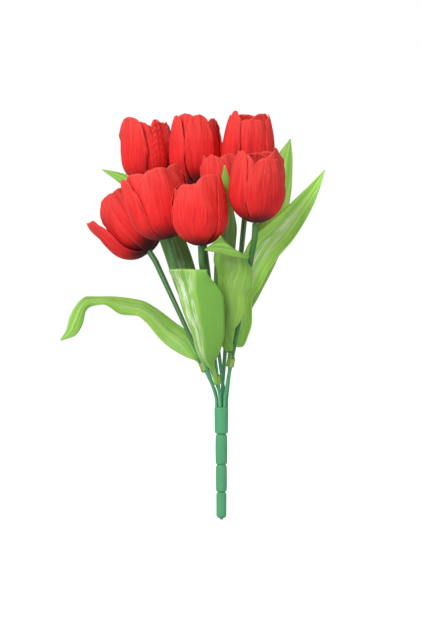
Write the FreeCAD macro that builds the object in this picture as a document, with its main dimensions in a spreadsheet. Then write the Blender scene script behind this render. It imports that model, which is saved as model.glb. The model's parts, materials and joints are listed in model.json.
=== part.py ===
import FreeCAD, Part
import math
import os
from FreeCAD import Placement, Rotation, Vector

# Artificial tulip bush: fabric flowers and leaves on wired stems, moulded into one handle.
# Millimetres. The origin is the lower end of the handle, on its axis, and Z runs up the handle.
# The bush faces -Y, with +X to its right.

# Driving sizes. Each is a cell of the sheet under the same name.
SIZES = {
    # Handle: four swollen segments with trim notches between them
    "tip_segment_length": 25.6,
    "lower_segment_length": 25.4,
    "upper_segment_length": 28.5,
    "crown_segment_length": 25.2,
    "tip_segment_radius": 4.8,
    "lower_segment_radius": 5.3,
    "upper_segment_radius": 5.6,
    "crown_segment_radius": 6.5,
    "segment_swell": 0.25,
    "notch_depth": 1.3,
    "notch_half_height": 1.4,
    "handle_end_round": 3.2,
    "nub_radius": 1.6,
    "nub_height": 1.2,
    "crown_round": 1.2,
    # Stems: a plastic sleeve on a wire, with a round foot in a socket of the crown
    "foot_ring_radius": 4.85,
    "foot_ring_turn": -2.0,
    "foot_lift": 0.6,
    "foot_gap": 0.3,
    "stem_foot_radius": 1.5,
    "stem_head_radius": 2.8,
    "stem_lead": 3.0,
    "stem_bend_radius": 30.0,
    "stem_neck_length": 10.0,
    "stem_rise": 212.0,
    "wire_radius": 0.7,
    "wire_gap": 0.05,
    # Flower heads: two layers of moulded petals, locked on the stem by the pin of the stamens
    "petal_height": 66.0,
    "petal_belly_height": 27.0,
    "petal_belly_radius": 25.5,
    "petal_mouth_radius": 16.5,
    "petal_hub_radius": 3.2,
    "petal_hole_radius": 1.7,
    "petal_hinge_radius": 1.9,
    "petal_wall": 0.5,
    "petal_half_width": 21.0,
    "petal_foot_half_width": 4.0,
    "petal_widest_height": 31.0,
    "petal_shoulder_half_width": 15.5,
    "petal_shoulder_height": 56.0,
    "petal_tip_arch": 3.0,
    "petal_sector_angle": 116.0,
    "layer_gap": 0.5,
    "seat_gap": 0.4,
    "small_head_share": 0.85,
    "pin_radius": 1.2,
    "pin_gap": 0.05,
    "pin_length": 7.0,
    "flange_radius": 3.4,
    "flange_height": 0.8,
    "pistil_radius": 1.3,
    "pistil_height": 34.0,
    "stigma_radius": 2.4,
    "stigma_height": 4.0,
    "filament_radius": 0.45,
    "filament_foot_radius": 2.4,
    "filament_reach": 8.0,
    "filament_height": 40.0,
    "anther_radius": 1.1,
    "anther_length": 9.0,
    # Leaves: a printed fabric blade on the tongue of a collar that turns round its stem
    "leaf_length": 200.0,
    "leaf_width": 50.0,
    "leaf_wall": 0.5,
    "leaf_gap": 0.3,
    "collar_height": 8.0,
    "collar_wall": 1.0,
    "collar_gap": 0.3,
    "tongue_half_width": 2.0,
    "tongue_reach": 4.0,
    "cut_margin": 8.0,
}

# Sizes worked out from the driving ones, as cells with a formula
DERIVED = {
    "lower_notch_height": "=tip_segment_length",
    "middle_notch_height": "=tip_segment_length + lower_segment_length",
    "upper_notch_height": "=middle_notch_height + upper_segment_length",
    "crown_height": "=upper_notch_height + crown_segment_length",
    "bore_radius": "=wire_radius + wire_gap",
    "pin_bore_radius": "=pin_radius + pin_gap",
    "foot_socket_radius": "=stem_foot_radius + foot_gap",
    "head_width": "=2 * petal_belly_radius",
    "flange_base_height": "=seat_gap + 2 * petal_wall + 2 * layer_gap",
}

# Each flower: its place as shares of the head's width across and front to back, and of the stems' rise;
# the head's lean outwards in its stem's plane; the foot's socket in the crown's ring, None for the middle
# one; the head's size; the turn of its petals; and the lean of each outer and inner petal, in degrees.
FLOWERS = {
    "upper_left": {"place_shares": (-1.35, 1.686, 1.004), "lean": 5, "foot": 2, "head": "full",
                   "turn": 25, "outer_leans": (2, 0, 5), "inner_leans": (0, 0, 1)},
    "upper_middle": {"place_shares": (-0.436, 1.176, 0.993), "lean": 5, "foot": 1, "head": "full",
                     "turn": -20, "outer_leans": (0, 0, 1), "inner_leans": (0, 0, 0)},
    "upper_right": {"place_shares": (0.486, 0.784, 0.999), "lean": 3, "foot": 0, "head": "full",
                    "turn": 12, "outer_leans": (0, 0, 2), "inner_leans": (0, 0, 0)},
    "middle_left": {"place_shares": (-0.975, -0.039, 0.737), "lean": 13, "foot": 4, "head": "full",
                    "turn": 10, "outer_leans": (4, 8, 12), "inner_leans": (1.5, 3.5, 1.5)},
    "front": {"place_shares": (-0.367, -0.824, 0.697), "lean": 4, "foot": 5, "head": "full",
              "turn": -12, "outer_leans": (0, 0, 0), "inner_leans": (0, 0, 0)},
    "right": {"place_shares": (0.594, -0.902, 0.793), "lean": 5, "foot": 6, "head": "full",
              "turn": 6, "outer_leans": (0, 0, 0), "inner_leans": (0, 0, 0)},
    "lower_left": {"place_shares": (-1.357, 0.902, 0.693), "lean": 38, "foot": 3, "head": "full",
                   "turn": 30, "outer_leans": (0, 0, 17), "inner_leans": (0, 0, 0)},
    "back": {"place_shares": (0.175, 0.0, 0.855), "lean": -12, "foot": None, "head": "small",
             "turn": -30, "outer_leans": (0, 0, 0), "inner_leans": (0, 0, 0)},
}

# Each leaf: the stem that carries it, the collar's height as a share of that stem's rise, and the blade's
# stations: place from the collar as shares of the leaf's length, left and right half widths as shares of
# its width, and the way it faces, as a turn from the front and a tilt upwards in degrees. The halves fold
# back along the midrib by the keel in degrees. A blade that is folded over lies flat on its crease, from the
# first station numbered there up to the second, and the flap beyond nests behind the blade.
LEAVES = {
    "left": {"stem": "lower_left", "rise_share": 0.247, "keel": -12, "station_shares": [
        (-0.055, 0.040, 0.060, 0.12, 0.12, 180, -25),
        (-0.090, 0.075, 0.110, 0.22, 0.24, 180, -35),
        (-0.175, 0.115, 0.175, 0.24, 0.24, 180, -35),
        (-0.250, 0.125, 0.245, 0.19, 0.19, 180, -30),
        (-0.310, 0.125, 0.280, 0.17, 0.17, 180, -25),
        (-0.385, 0.115, 0.290, 0.18, 0.18, 180, -25),
        (-0.480, 0.100, 0.315, 0.10, 0.10, 180, -30),
        (-0.545, 0.080, 0.310, 0.11, 0.11, 180, -15),
        (-0.580, 0.060, 0.280, 0.11, 0.11, 180, 0),
        (-0.605, 0.045, 0.215, 0.14, 0.14, 180, 0),
        (-0.630, 0.035, 0.160, 0.10, 0.10, 180, 0),
        (-0.675, 0.030, 0.125, 0.01, 0.01, 180, 0)]},
    "front_left": {"stem": "front", "rise_share": 0.171, "keel": 25, "crease": (6, 9), "station_shares": [
        (-0.035, -0.055, 0.070, 0.10, 0.10, -15, 0),
        (-0.050, -0.085, 0.100, 0.20, 0.22, -15, 0),
        (-0.060, -0.145, 0.210, 0.32, 0.38, -15, 0),
        (-0.075, -0.175, 0.285, 0.38, 0.44, -15, 0),
        (-0.085, -0.195, 0.355, 0.44, 0.46, -15, 0),
        (-0.095, -0.210, 0.420, 0.48, 0.38, -15, 0),
        (-0.095, -0.220, 0.495, 0.52, 0.19, -15, 0),
        (-0.093, -0.213, 0.500, 0.52, 0.19, 0, 90),
        (-0.091, -0.205, 0.495, 0.52, 0.19, 165, 0),
        (-0.091, -0.197, 0.430, 0.46, 0.18, 165, 0),
        (-0.080, -0.179, 0.350, 0.01, 0.01, 165, 0)]},
    "front_right": {"stem": "right", "rise_share": 0.246, "keel": 10, "station_shares": [
        (-0.015, -0.035, 0.060, 0.08, 0.10, -15, 0),
        (-0.035, -0.060, 0.125, 0.08, 0.14, -20, 0),
        (-0.035, -0.075, 0.170, 0.08, 0.24, -20, 0),
        (-0.030, -0.090, 0.240, 0.10, 0.38, -20, 0),
        (-0.030, -0.105, 0.310, 0.14, 0.40, -20, 0),
        (-0.020, -0.130, 0.380, 0.22, 0.46, -20, 0),
        (-0.005, -0.165, 0.442, 0.34, 0.36, -15, 0),
        (-0.031, -0.195, 0.501, 0.16, 0.17, -10, 0),
        (-0.066, -0.215, 0.529, 0.125, 0.125, 0, 0),
        (-0.122, -0.230, 0.508, 0.01, 0.01, 0, 0)]},
    "right": {"stem": "upper_right", "rise_share": 0.223, "keel": -12, "station_shares": [
        (0.025, -0.030, 0.050, 0.10, 0.11, 10, 0),
        (0.035, -0.035, 0.100, 0.16, 0.18, 10, 0),
        (0.050, -0.045, 0.165, 0.18, 0.19, 10, 0),
        (0.060, -0.060, 0.260, 0.18, 0.15, 10, 0),
        (0.080, -0.075, 0.335, 0.20, 0.24, 10, 0),
        (0.115, -0.090, 0.415, 0.30, 0.25, 10, 5),
        (0.165, -0.105, 0.490, 0.36, 0.25, 10, 10),
        (0.240, -0.120, 0.570, 0.32, 0.23, 10, 10),
        (0.310, -0.130, 0.665, 0.22, 0.19, 10, 10),
        (0.375, -0.125, 0.755, 0.14, 0.10, 10, 10),
        (0.430, -0.110, 0.855, 0.01, 0.01, 10, 10)]},
    "back_right": {"stem": "upper_right", "rise_share": 0.317, "keel": -12, "station_shares": [
        (0.045, 0.010, 0.100, 0.10, 0.10, 180, 0),
        (0.105, 0.040, 0.240, 0.18, 0.18, 180, 0),
        (0.165, 0.065, 0.415, 0.26, 0.26, 180, 0),
        (0.200, 0.090, 0.590, 0.26, 0.26, 180, 0),
        (0.230, 0.110, 0.730, 0.22, 0.22, 180, 0),
        (0.250, 0.120, 0.840, 0.15, 0.15, 180, 0),
        (0.275, 0.130, 0.930, 0.01, 0.01, 180, 0)]},
    "back_left": {"stem": "middle_left", "rise_share": 0.29, "keel": -12, "station_shares": [
        (-0.010, 0.030, 0.100, 0.12, 0.12, 180, 0),
        (-0.040, 0.070, 0.225, 0.20, 0.20, 180, 0),
        (-0.090, 0.110, 0.375, 0.24, 0.24, 180, 0),
        (-0.140, 0.140, 0.525, 0.24, 0.24, 180, 0),
        (-0.205, 0.155, 0.660, 0.20, 0.20, 180, -10),
        (-0.290, 0.175, 0.775, 0.16, 0.16, 180, -20),
        (-0.390, 0.175, 0.850, 0.11, 0.11, 180, -20),
        (-0.485, 0.170, 0.890, 0.01, 0.01, 180, -20)]},
    "middle": {"stem": "front", "rise_share": 0.408, "keel": -12, "station_shares": [
        (0.030, 0.015, 0.100, 0.10, 0.10, 190, 0),
        (0.045, 0.020, 0.250, 0.16, 0.16, 180, 0),
        (0.055, 0.025, 0.400, 0.18, 0.18, 180, 0),
        (0.065, 0.020, 0.525, 0.16, 0.16, 180, 0),
        (0.065, -0.020, 0.635, 0.12, 0.12, 180, 0),
        (0.060, -0.050, 0.725, 0.09, 0.09, 180, 0),
        (0.055, -0.060, 0.805, 0.01, 0.01, 180, 0)]},
}

PETALS_PER_LAYER = 3
STAMEN_COUNT = 6
SOCKET_COUNT = 7
UP = Vector(0, 0, 1)
SIDE = Vector(0, 1, 0)
FRONT_TURN = -90


# The sheet and the values read from it

def make_sheet(doc):
    """Driving sizes as numbers, then derived sizes as formulas, one row each."""
    sheet = doc.addObject("Spreadsheet::Sheet", "Sizes")
    row = 0
    for alias, value in SIZES.items():
        row += 1
        sheet.set(f"A{row}", alias)
        sheet.set(f"B{row}", str(value))
        sheet.setAlias(f"B{row}", alias)
    rows = dict(DERIVED)
    for size in ("full", "small"):
        for layer in ("outer", "inner"):
            rows.update(petal_rows(size, layer))
    for alias, formula in rows.items():
        row += 1
        sheet.set(f"A{row}", alias)
        sheet.set(f"B{row}", formula)
        sheet.setAlias(f"B{row}", alias)
    doc.recompute()
    return sheet


def petal_rows(size, layer):
    """Formulas for one petal's section and outline: the inner layer lies inside the outer one."""
    share = " * small_head_share" if size == "small" else ""
    inset = "petal_wall + layer_gap" if layer == "inner" else "0"
    name = f"{size}_{layer}"
    return {
        f"{name}_foot": f"=seat_gap + {inset}",
        f"{name}_foot_top": f"={name}_foot + petal_wall",
        f"{name}_belly": f"=petal_belly_radius{share} - ({inset})",
        f"{name}_belly_inside": f"={name}_belly - petal_wall",
        f"{name}_belly_height": f"=petal_belly_height{share}",
        f"{name}_mouth": f"=petal_mouth_radius{share} - ({inset})",
        f"{name}_mouth_inside": f"={name}_mouth - petal_wall",
        f"{name}_top": f"=petal_height{share}",
        f"{name}_cup_radius": f"=(({name}_belly - petal_hub_radius)^2 + ({name}_belly_height - {name}_foot)^2)"
                              f" / (2 * ({name}_belly - petal_hub_radius))",
        f"{name}_cup_inside_radius": f"=(({name}_belly_inside - petal_hub_radius)^2"
                                     f" + ({name}_belly_height - {name}_foot_top)^2)"
                                     f" / (2 * ({name}_belly_inside - petal_hub_radius))",
        f"{name}_side_radius": f"=(({name}_belly - {name}_mouth)^2 + ({name}_top - {name}_belly_height)^2)"
                               f" / (2 * ({name}_belly - {name}_mouth))",
        f"{name}_widest": f"=petal_half_width{share} - ({inset})",
        f"{name}_widest_height": f"=petal_widest_height{share}",
        f"{name}_flank_radius": f"=(({name}_widest - petal_foot_half_width)^2 + {name}_widest_height^2)"
                                f" / (2 * ({name}_widest - petal_foot_half_width))",
        f"{name}_shoulder": f"=petal_shoulder_half_width{share} - ({inset})",
        f"{name}_shoulder_height": f"=petal_shoulder_height{share}",
        f"{name}_bow_radius": f"=(({name}_widest - {name}_shoulder)^2"
                              f" + ({name}_shoulder_height - {name}_widest_height)^2)"
                              f" / (2 * ({name}_widest - {name}_shoulder))",
        f"{name}_tip_radius": f"=({name}_shoulder^2 + ({name}_top - {name}_shoulder_height)^2)"
                              f" / (8 * petal_tip_arch) + petal_tip_arch / 2",
        f"{name}_frame_side": f"={name}_widest + cut_margin",
        f"{name}_frame_top": f"={name}_top + cut_margin",
    }


def cell(sheet, name):
    """The number in a cell; a leading minus sign turns it round, and "0" is zero."""
    if name == "0":
        return 0.0
    if name.startswith("-"):
        return -float(sheet.get(name[1:]))
    return float(sheet.get(name))


def bound(name):
    """The expression that ties a property to a cell."""
    if name == "0":
        return "0"
    if name.startswith("-"):
        return f"-Sizes.{name[1:]}"
    return f"Sizes.{name}"


# Sketches whose corners and arcs are bound to cells

def plane_of(body, role):
    for feature in body.Origin.OriginFeatures:
        if feature.Role == role:
            return feature
    raise ValueError(role)


def new_sketch(body, name, role):
    sketch = body.newObject("Sketcher::SketchObject", name)
    sketch.AttachmentSupport = [(plane_of(body, role), "")]
    sketch.MapMode = "FlatFace"
    return sketch


def arc_through(start, end, radius, bulge):
    """The shorter arc of a radius from start to end; bulge 1 puts it left of the way, -1 right."""
    chord = end - start
    half = chord.Length / 2
    left = Vector(-chord.y, chord.x, 0) / chord.Length
    rise = radius - math.sqrt(max(radius ** 2 - half ** 2, 0))
    return Part.Arc(start, (start + end) / 2 + left * bulge * rise, end)


def draw_loop(sheet, sketch, corners, arcs):
    """A closed outline. corners are pairs of cell names, arcs maps a side's number to (radius, bulge)."""
    points = [Vector(cell(sheet, x), cell(sheet, y), 0) for x, y in corners]
    first = sketch.GeometryCount
    count = len(points)
    tips = []
    for number, start in enumerate(points):
        end = points[(number + 1) % count]
        if number in arcs:
            radius, bulge = arcs[number]
            curve = arc_through(start, end, cell(sheet, radius), bulge)
            index = sketch.addGeometry(curve, False)
            near_start = (sketch.getPoint(index, 1) - start).Length < (sketch.getPoint(index, 2) - start).Length
            tips.append((index, 1, 2) if near_start else (index, 2, 1))
        else:
            index = sketch.addGeometry(Part.LineSegment(start, end), False)
            tips.append((index, 1, 2))
    for number in range(count):
        index, start_tip, end_tip = tips[number]
        following, following_tip = tips[(number + 1) % count][0], tips[(number + 1) % count][1]
        sketch.addConstraint(constraint("Coincident", index, end_tip, following, following_tip))
    for number, (x, y) in enumerate(corners):
        index, tip = first + number, tips[number][1]
        for kind, name, value in (("DistanceX", x, points[number].x), ("DistanceY", y, points[number].y)):
            made = sketch.addConstraint(constraint(kind, -1, 1, index, tip, value))
            if name != "0":
                sketch.setExpression(f"Constraints[{made}]", bound(name))
    for number, (radius, bulge) in arcs.items():
        made = sketch.addConstraint(constraint("Radius", first + number, cell(sheet, radius)))
        sketch.setExpression(f"Constraints[{made}]", bound(radius))


def constraint(*terms):
    import Sketcher
    return Sketcher.Constraint(*terms)


# Handle

def make_handle(doc, sheet):
    """Revolved segments with notches, the tip straight and round-ended, less the stems' sockets."""
    body = doc.addObject("PartDesign::Body", "HandleBody")
    sketch = new_sketch(body, "HandleProfile", "XZ_Plane")
    corners, arcs = handle_outline(doc, sheet)
    draw_loop(sheet, sketch, corners, arcs)
    turned = body.newObject("PartDesign::Revolution", "HandleTurned")
    turned.Profile = sketch
    turned.ReferenceAxis = (sketch, ["V_Axis"])
    turned.Angle = 360
    body.Tip = turned
    sockets = []
    for number, place in enumerate([None] + list(range(SOCKET_COUNT))):
        socket = doc.addObject("Part::Sphere", f"Socket{number}")
        socket.setExpression("Radius", bound("foot_socket_radius"))
        socket.Placement = Placement(foot_centre(sheet, place), Rotation())
        sockets.append(socket)
    tool = doc.addObject("Part::MultiFuse", "HandleSockets")
    tool.Shapes = sockets
    handle = doc.addObject("Part::Cut", "Handle")
    handle.Base = body
    handle.Tool = tool
    handle.Label = "handle"
    return handle


def foot_centre(sheet, place):
    """Middle of a stem's round foot: on the crown's axis, or at a place on the ring."""
    height = cell(sheet, "crown_height") + cell(sheet, "foot_lift")
    if place is None:
        return Vector(0, 0, height)
    turn = cell(sheet, "foot_ring_turn") + place * 360 / SOCKET_COUNT
    return Rotation(UP, turn).multVec(Vector(cell(sheet, "foot_ring_radius"), 0, 0)) + Vector(0, 0, height)


def handle_outline(doc, sheet):
    """Corners from the axis at the bottom round to the axis at the top."""
    names = extra_cells(doc, sheet, "handle", {
        "round_top": "=nub_height + handle_end_round",
        "round_side": "=tip_segment_radius - handle_end_round",
        "crown_flat": "=crown_segment_radius - crown_round",
        "crown_shoulder": "=crown_height - crown_round",
    })
    corners = [("0", "0"), ("nub_radius", "0"), ("nub_radius", "nub_height"),
               (names["round_side"], "nub_height"), ("tip_segment_radius", names["round_top"])]
    arcs = {3: ("handle_end_round", -1)}
    segments = [("tip", "lower", "lower_notch_height"), ("lower", "upper", "middle_notch_height"),
                ("upper", "crown", "upper_notch_height")]
    for below, above, notch in segments:
        made = extra_cells(doc, sheet, f"{below}_notch", {
            "start": f"={notch} - notch_half_height",
            "end": f"={notch} + notch_half_height",
            "floor": f"={below}_segment_radius - notch_depth",
            "below_edge": f"={below}_segment_radius" + ("" if below == "tip" else " - segment_swell"),
            "above_edge": f"={above}_segment_radius - segment_swell",
        })
        corners.append((made["below_edge"], made["start"]))
        if below != "tip":
            arcs[len(corners) - 2] = (swell_radius(doc, sheet, below), -1)
        corners.append((made["floor"], notch))
        corners.append((made["above_edge"], made["end"]))
    corners.append(("crown_segment_radius", names["crown_shoulder"]))
    corners.append((names["crown_flat"], "crown_height"))
    arcs[len(corners) - 2] = ("crown_round", -1)
    corners.append(("0", "crown_height"))
    return corners, arcs


def swell_radius(doc, sheet, segment):
    """Radius of the arc that swells a segment by segment_swell over its length between notches."""
    half = f"({segment}_segment_length / 2 - notch_half_height)"
    made = extra_cells(doc, sheet, segment, {"swell_arc": f"=({half}^2 + segment_swell^2) / (2 * segment_swell)"})
    return made["swell_arc"]


def extra_cells(doc, sheet, prefix, rows):
    """Formula rows added under the last one; returns each row's alias by its short name."""
    used = sheet.getUsedCells()
    row = max(int(place[1:]) for place in used)
    aliases = {}
    for short, formula in rows.items():
        alias = f"{prefix}_{short}"
        aliases[short] = alias
        row += 1
        sheet.set(f"A{row}", alias)
        sheet.set(f"B{row}", formula)
        sheet.setAlias(f"B{row}", alias)
    doc.recompute([sheet])
    return aliases


# Stems

def stem_route(sheet, flower):
    """The stem's centre line in its own upright plane.

    It leaves the foot straight up for the lead, bends outwards, runs straight, bends again to the head's
    lean, and ends in a straight neck. The straight run is the common tangent of the two bends.
    """
    foot = foot_centre(sheet, flower["foot"])
    across, deep, rise = flower["place_shares"]
    width = cell(sheet, "head_width")
    head = Vector(across * width, deep * width, cell(sheet, "crown_height") + rise * cell(sheet, "stem_rise"))
    reach = head - foot
    turn = math.degrees(math.atan2(reach.y, reach.x))
    out = math.hypot(reach.x, reach.y)
    lean = math.radians(flower["lean"])
    lead, bend, neck = (cell(sheet, name) for name in ("stem_lead", "stem_bend_radius", "stem_neck_length"))
    way = 1 if lean > math.atan2(out, reach.z) else -1
    neck_foot = Vector(out - neck * math.sin(lean), 0, reach.z - neck * math.cos(lean))
    lower_centre = Vector(bend, 0, lead)
    upper_centre = neck_foot + Vector(math.cos(lean), 0, -math.sin(lean)) * bend * way
    span = upper_centre - lower_centre
    slope = math.atan2(span.x, span.z)
    angle = slope - math.asin((way - 1) * bend / span.Length)
    run = span.Length * math.cos(slope - angle)
    run_start = lower_centre + Vector(-math.cos(angle), 0, math.sin(angle)) * bend
    return {"foot": foot, "turn": turn, "angle": angle, "lean": lean, "way": way, "run": run, "bend": bend,
            "lead": lead, "neck": neck, "run_start": run_start, "neck_foot": neck_foot,
            "along": Vector(math.sin(angle), 0, math.cos(angle)),
            "run_end": run_start + Vector(math.sin(angle), 0, math.cos(angle)) * run,
            "placement": Placement(foot, Rotation(UP, turn))}


def bend_rotation(start_side, along):
    """Turns a torus so that it starts at start_side of its centre and heads along."""
    return Rotation(start_side, along, start_side.cross(along), "ZXY")


def make_rod(doc, name, route, foot_size, head_size, with_neck):
    """A rod along a stem's route: straight lead, bend, tapered run, bend and straight neck."""
    pieces = []
    lead = doc.addObject("Part::Cylinder", f"{name}Lead")
    lead.setExpression("Radius", bound(foot_size))
    lead.setExpression("Height", bound("stem_lead"))
    pieces.append(lead)
    lower = doc.addObject("Part::Torus", f"{name}LowerBend")
    lower.setExpression("Radius1", bound("stem_bend_radius"))
    lower.setExpression("Radius2", bound(foot_size))
    lower.Angle3 = math.degrees(route["angle"])
    lower.Placement = Placement(Vector(route["bend"], 0, route["lead"]), bend_rotation(Vector(-1, 0, 0), UP))
    pieces.append(lower)
    run = doc.addObject("Part::Cone", f"{name}Run")
    run.setExpression("Radius1", bound(foot_size))
    run.setExpression("Radius2", bound(head_size))
    run.Height = route["run"]
    run.Placement = Placement(route["run_start"], Rotation(SIDE, math.degrees(route["angle"])))
    pieces.append(run)
    inwards = Vector(math.cos(route["angle"]), 0, -math.sin(route["angle"])) * route["way"]
    upper = doc.addObject("Part::Torus", f"{name}UpperBend")
    upper.setExpression("Radius1", bound("stem_bend_radius"))
    upper.setExpression("Radius2", bound(head_size))
    upper.Angle3 = math.degrees(abs(route["lean"] - route["angle"]))
    upper.Placement = Placement(route["run_end"] + inwards * route["bend"],
                                bend_rotation(-inwards, route["along"]))
    pieces.append(upper)
    if with_neck:
        neck = doc.addObject("Part::Cylinder", f"{name}Neck")
        neck.setExpression("Radius", bound(head_size))
        neck.setExpression("Height", bound("stem_neck_length"))
        neck.Placement = Placement(route["neck_foot"], Rotation(SIDE, math.degrees(route["lean"])))
        pieces.append(neck)
    return pieces


def make_stem(doc, sheet, name, route):
    """The sleeve, bored for its wire and for the stamens' pin, and the wire inside it."""
    title = name.title().replace("_", "")
    foot = doc.addObject("Part::Sphere", f"{title}Foot")
    foot.setExpression("Radius", bound("stem_foot_radius"))
    sleeve = doc.addObject("Part::MultiFuse", f"{title}Sleeve")
    sleeve.Shapes = [foot] + make_rod(doc, f"{title}Sleeve", route, "stem_foot_radius", "stem_head_radius", True)
    pin_bore = doc.addObject("Part::Cylinder", f"{title}PinBore")
    pin_bore.setExpression("Radius", bound("pin_bore_radius"))
    pin_bore.setExpression("Height", bound("stem_neck_length"))
    pin_bore.Placement = Placement(route["neck_foot"], Rotation(SIDE, math.degrees(route["lean"])))
    bore = doc.addObject("Part::MultiFuse", f"{title}Bore")
    bore.Shapes = make_rod(doc, f"{title}Bore", route, "bore_radius", "bore_radius", False) + [pin_bore]
    stem = doc.addObject("Part::Cut", f"{title}Stem")
    stem.Base = sleeve
    stem.Tool = bore
    stem.Placement = route["placement"]
    stem.Label = f"{name}_stem"
    wire = doc.addObject("Part::MultiFuse", f"{title}Wire")
    wire.Shapes = make_rod(doc, f"{title}Wire", route, "wire_radius", "wire_radius", False)
    wire.Placement = route["placement"]
    wire.Label = f"{name}_stem_wire"
    return [stem, wire]


# Flower heads

def head_placement(route, turn):
    """At the stem's end, leaning in the stem's plane, with the petals turned about the head's axis."""
    local = Placement(route["neck_foot"] + Vector(math.sin(route["lean"]), 0, math.cos(route["lean"]))
                      * route["neck"], Rotation(SIDE, math.degrees(route["lean"])))
    return route["placement"] * local * Placement(Vector(), Rotation(UP, turn - route["turn"]))


def make_petal(doc, sheet, size, layer):
    """One spoon-shaped petal: a thin revolved sector, cut to the petal's outline from the front."""
    name = f"{size}_{layer}"
    title = f"{size}{layer}Petal".title()
    body = doc.addObject("PartDesign::Body", title)
    section = new_sketch(body, f"{title}Section", "XZ_Plane")
    draw_loop(sheet, section, [
        ("petal_hole_radius", f"{name}_foot"), ("petal_hub_radius", f"{name}_foot"),
        (f"{name}_belly", f"{name}_belly_height"), (f"{name}_mouth", f"{name}_top"),
        (f"{name}_mouth_inside", f"{name}_top"), (f"{name}_belly_inside", f"{name}_belly_height"),
        ("petal_hub_radius", f"{name}_foot_top"), ("petal_hole_radius", f"{name}_foot_top"),
    ], {1: (f"{name}_cup_radius", -1), 2: (f"{name}_side_radius", -1),
        4: (f"{name}_side_radius", 1), 5: (f"{name}_cup_inside_radius", 1)})
    shell = body.newObject("PartDesign::Revolution", f"{title}Shell")
    shell.Profile = section
    shell.ReferenceAxis = (section, ["V_Axis"])
    shell.Midplane = True
    shell.setExpression("Angle", bound("petal_sector_angle"))
    doc.recompute()
    whole = shell.Shape.Volume
    outline = new_sketch(body, f"{title}Outline", "YZ_Plane")
    side, top = f"{name}_frame_side", f"{name}_frame_top"
    draw_loop(sheet, outline, [(f"-{side}", "-cut_margin"), (side, "-cut_margin"), (side, top), (f"-{side}", top)], {})
    widest, height, shoulder = f"{name}_widest", f"{name}_widest_height", f"{name}_shoulder"
    draw_loop(sheet, outline, [
        ("-petal_foot_half_width", "0"), ("petal_foot_half_width", "0"),
        (widest, height), (shoulder, f"{shoulder}_height"), ("0", f"{name}_top"),
        (f"-{shoulder}", f"{shoulder}_height"), (f"-{widest}", height),
    ], {1: (f"{name}_flank_radius", -1), 2: (f"{name}_bow_radius", -1), 3: (f"{name}_tip_radius", -1),
        4: (f"{name}_tip_radius", -1), 5: (f"{name}_bow_radius", -1), 6: (f"{name}_flank_radius", -1)})
    trim = body.newObject("PartDesign::Pocket", f"{title}Trim")
    trim.Profile = outline
    trim.Type = "ThroughAll"
    trim.Reversed = True
    body.Tip = trim
    doc.recompute()
    if not trim.Shape.Volume < whole:
        raise ValueError(f"{title} is not trimmed")
    return body


def make_layer(doc, name, petal, lean_pivot, leans, offset, placement):
    """Three petals round the pin, each leaning outwards about its inner edge."""
    links = []
    for number, lean in enumerate(leans):
        link = doc.addObject("App::Link", f"{name}_{number + 1}")
        link.LinkedObject = petal
        turn = Placement(Vector(), Rotation(UP, FRONT_TURN + offset + number * 360 / PETALS_PER_LAYER))
        tilt = Placement(lean_pivot, Rotation(SIDE, lean)) * Placement(-lean_pivot, Rotation())
        link.Placement = turn * tilt
        links.append(link)
    layer = doc.addObject("Part::Compound", name)
    layer.Links = links
    layer.Placement = placement
    layer.Label = name
    return layer


def make_stamens(doc, sheet):
    """Pin, flange and pistil turned in one, and six filaments with long anthers round them."""
    names = extra_cells(doc, sheet, "stamens", {
        "pin_end": "=flange_base_height - seat_gap - pin_length",
        "flange_top": "=flange_base_height + flange_height",
        "pistil_top": "=flange_base_height + pistil_height",
        "stigma_foot": "=flange_base_height + pistil_height - stigma_height",
        "stigma_dome": "=(stigma_radius^2 + stigma_height^2) / (2 * stigma_height)",
    })
    body = doc.addObject("PartDesign::Body", "StamensBody")
    sketch = new_sketch(body, "PistilProfile", "XZ_Plane")
    draw_loop(sheet, sketch, [
        ("0", names["pin_end"]), ("pin_radius", names["pin_end"]), ("pin_radius", "flange_base_height"),
        ("flange_radius", "flange_base_height"), ("flange_radius", names["flange_top"]),
        ("pistil_radius", names["flange_top"]), ("pistil_radius", names["stigma_foot"]),
        ("stigma_radius", names["stigma_foot"]), ("0", names["pistil_top"]),
    ], {7: (names["stigma_dome"], -1)})
    pistil = body.newObject("PartDesign::Revolution", "Pistil")
    pistil.Profile = sketch
    pistil.ReferenceAxis = (sketch, ["V_Axis"])
    pistil.Angle = 360
    body.Tip = pistil
    filaments = []
    foot = Vector(cell(sheet, "filament_foot_radius"), 0, cell(sheet, "flange_base_height"))
    reach = Vector(cell(sheet, "filament_reach") - foot.x, 0, cell(sheet, "filament_height"))
    tilt = math.degrees(math.atan2(reach.x, reach.z))
    for number in range(STAMEN_COUNT):
        turn = Placement(Vector(), Rotation(UP, number * 360 / STAMEN_COUNT))
        filament = doc.addObject("Part::Cylinder", f"Filament{number + 1}")
        filament.setExpression("Radius", bound("filament_radius"))
        filament.Height = reach.Length
        filament.Placement = turn * Placement(foot, Rotation(SIDE, tilt))
        anther = doc.addObject("Part::Ellipsoid", f"Anther{number + 1}")
        anther.setExpression("Radius1", bound("anther_length") + " / 2")
        anther.setExpression("Radius2", bound("anther_radius"))
        anther.setExpression("Radius3", bound("anther_radius"))
        anther.Placement = turn * Placement(foot + reach, Rotation(SIDE, tilt))
        filaments += [filament, anther]
    stamens = doc.addObject("Part::MultiFuse", "Stamens")
    stamens.Shapes = [body] + filaments
    return stamens


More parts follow.
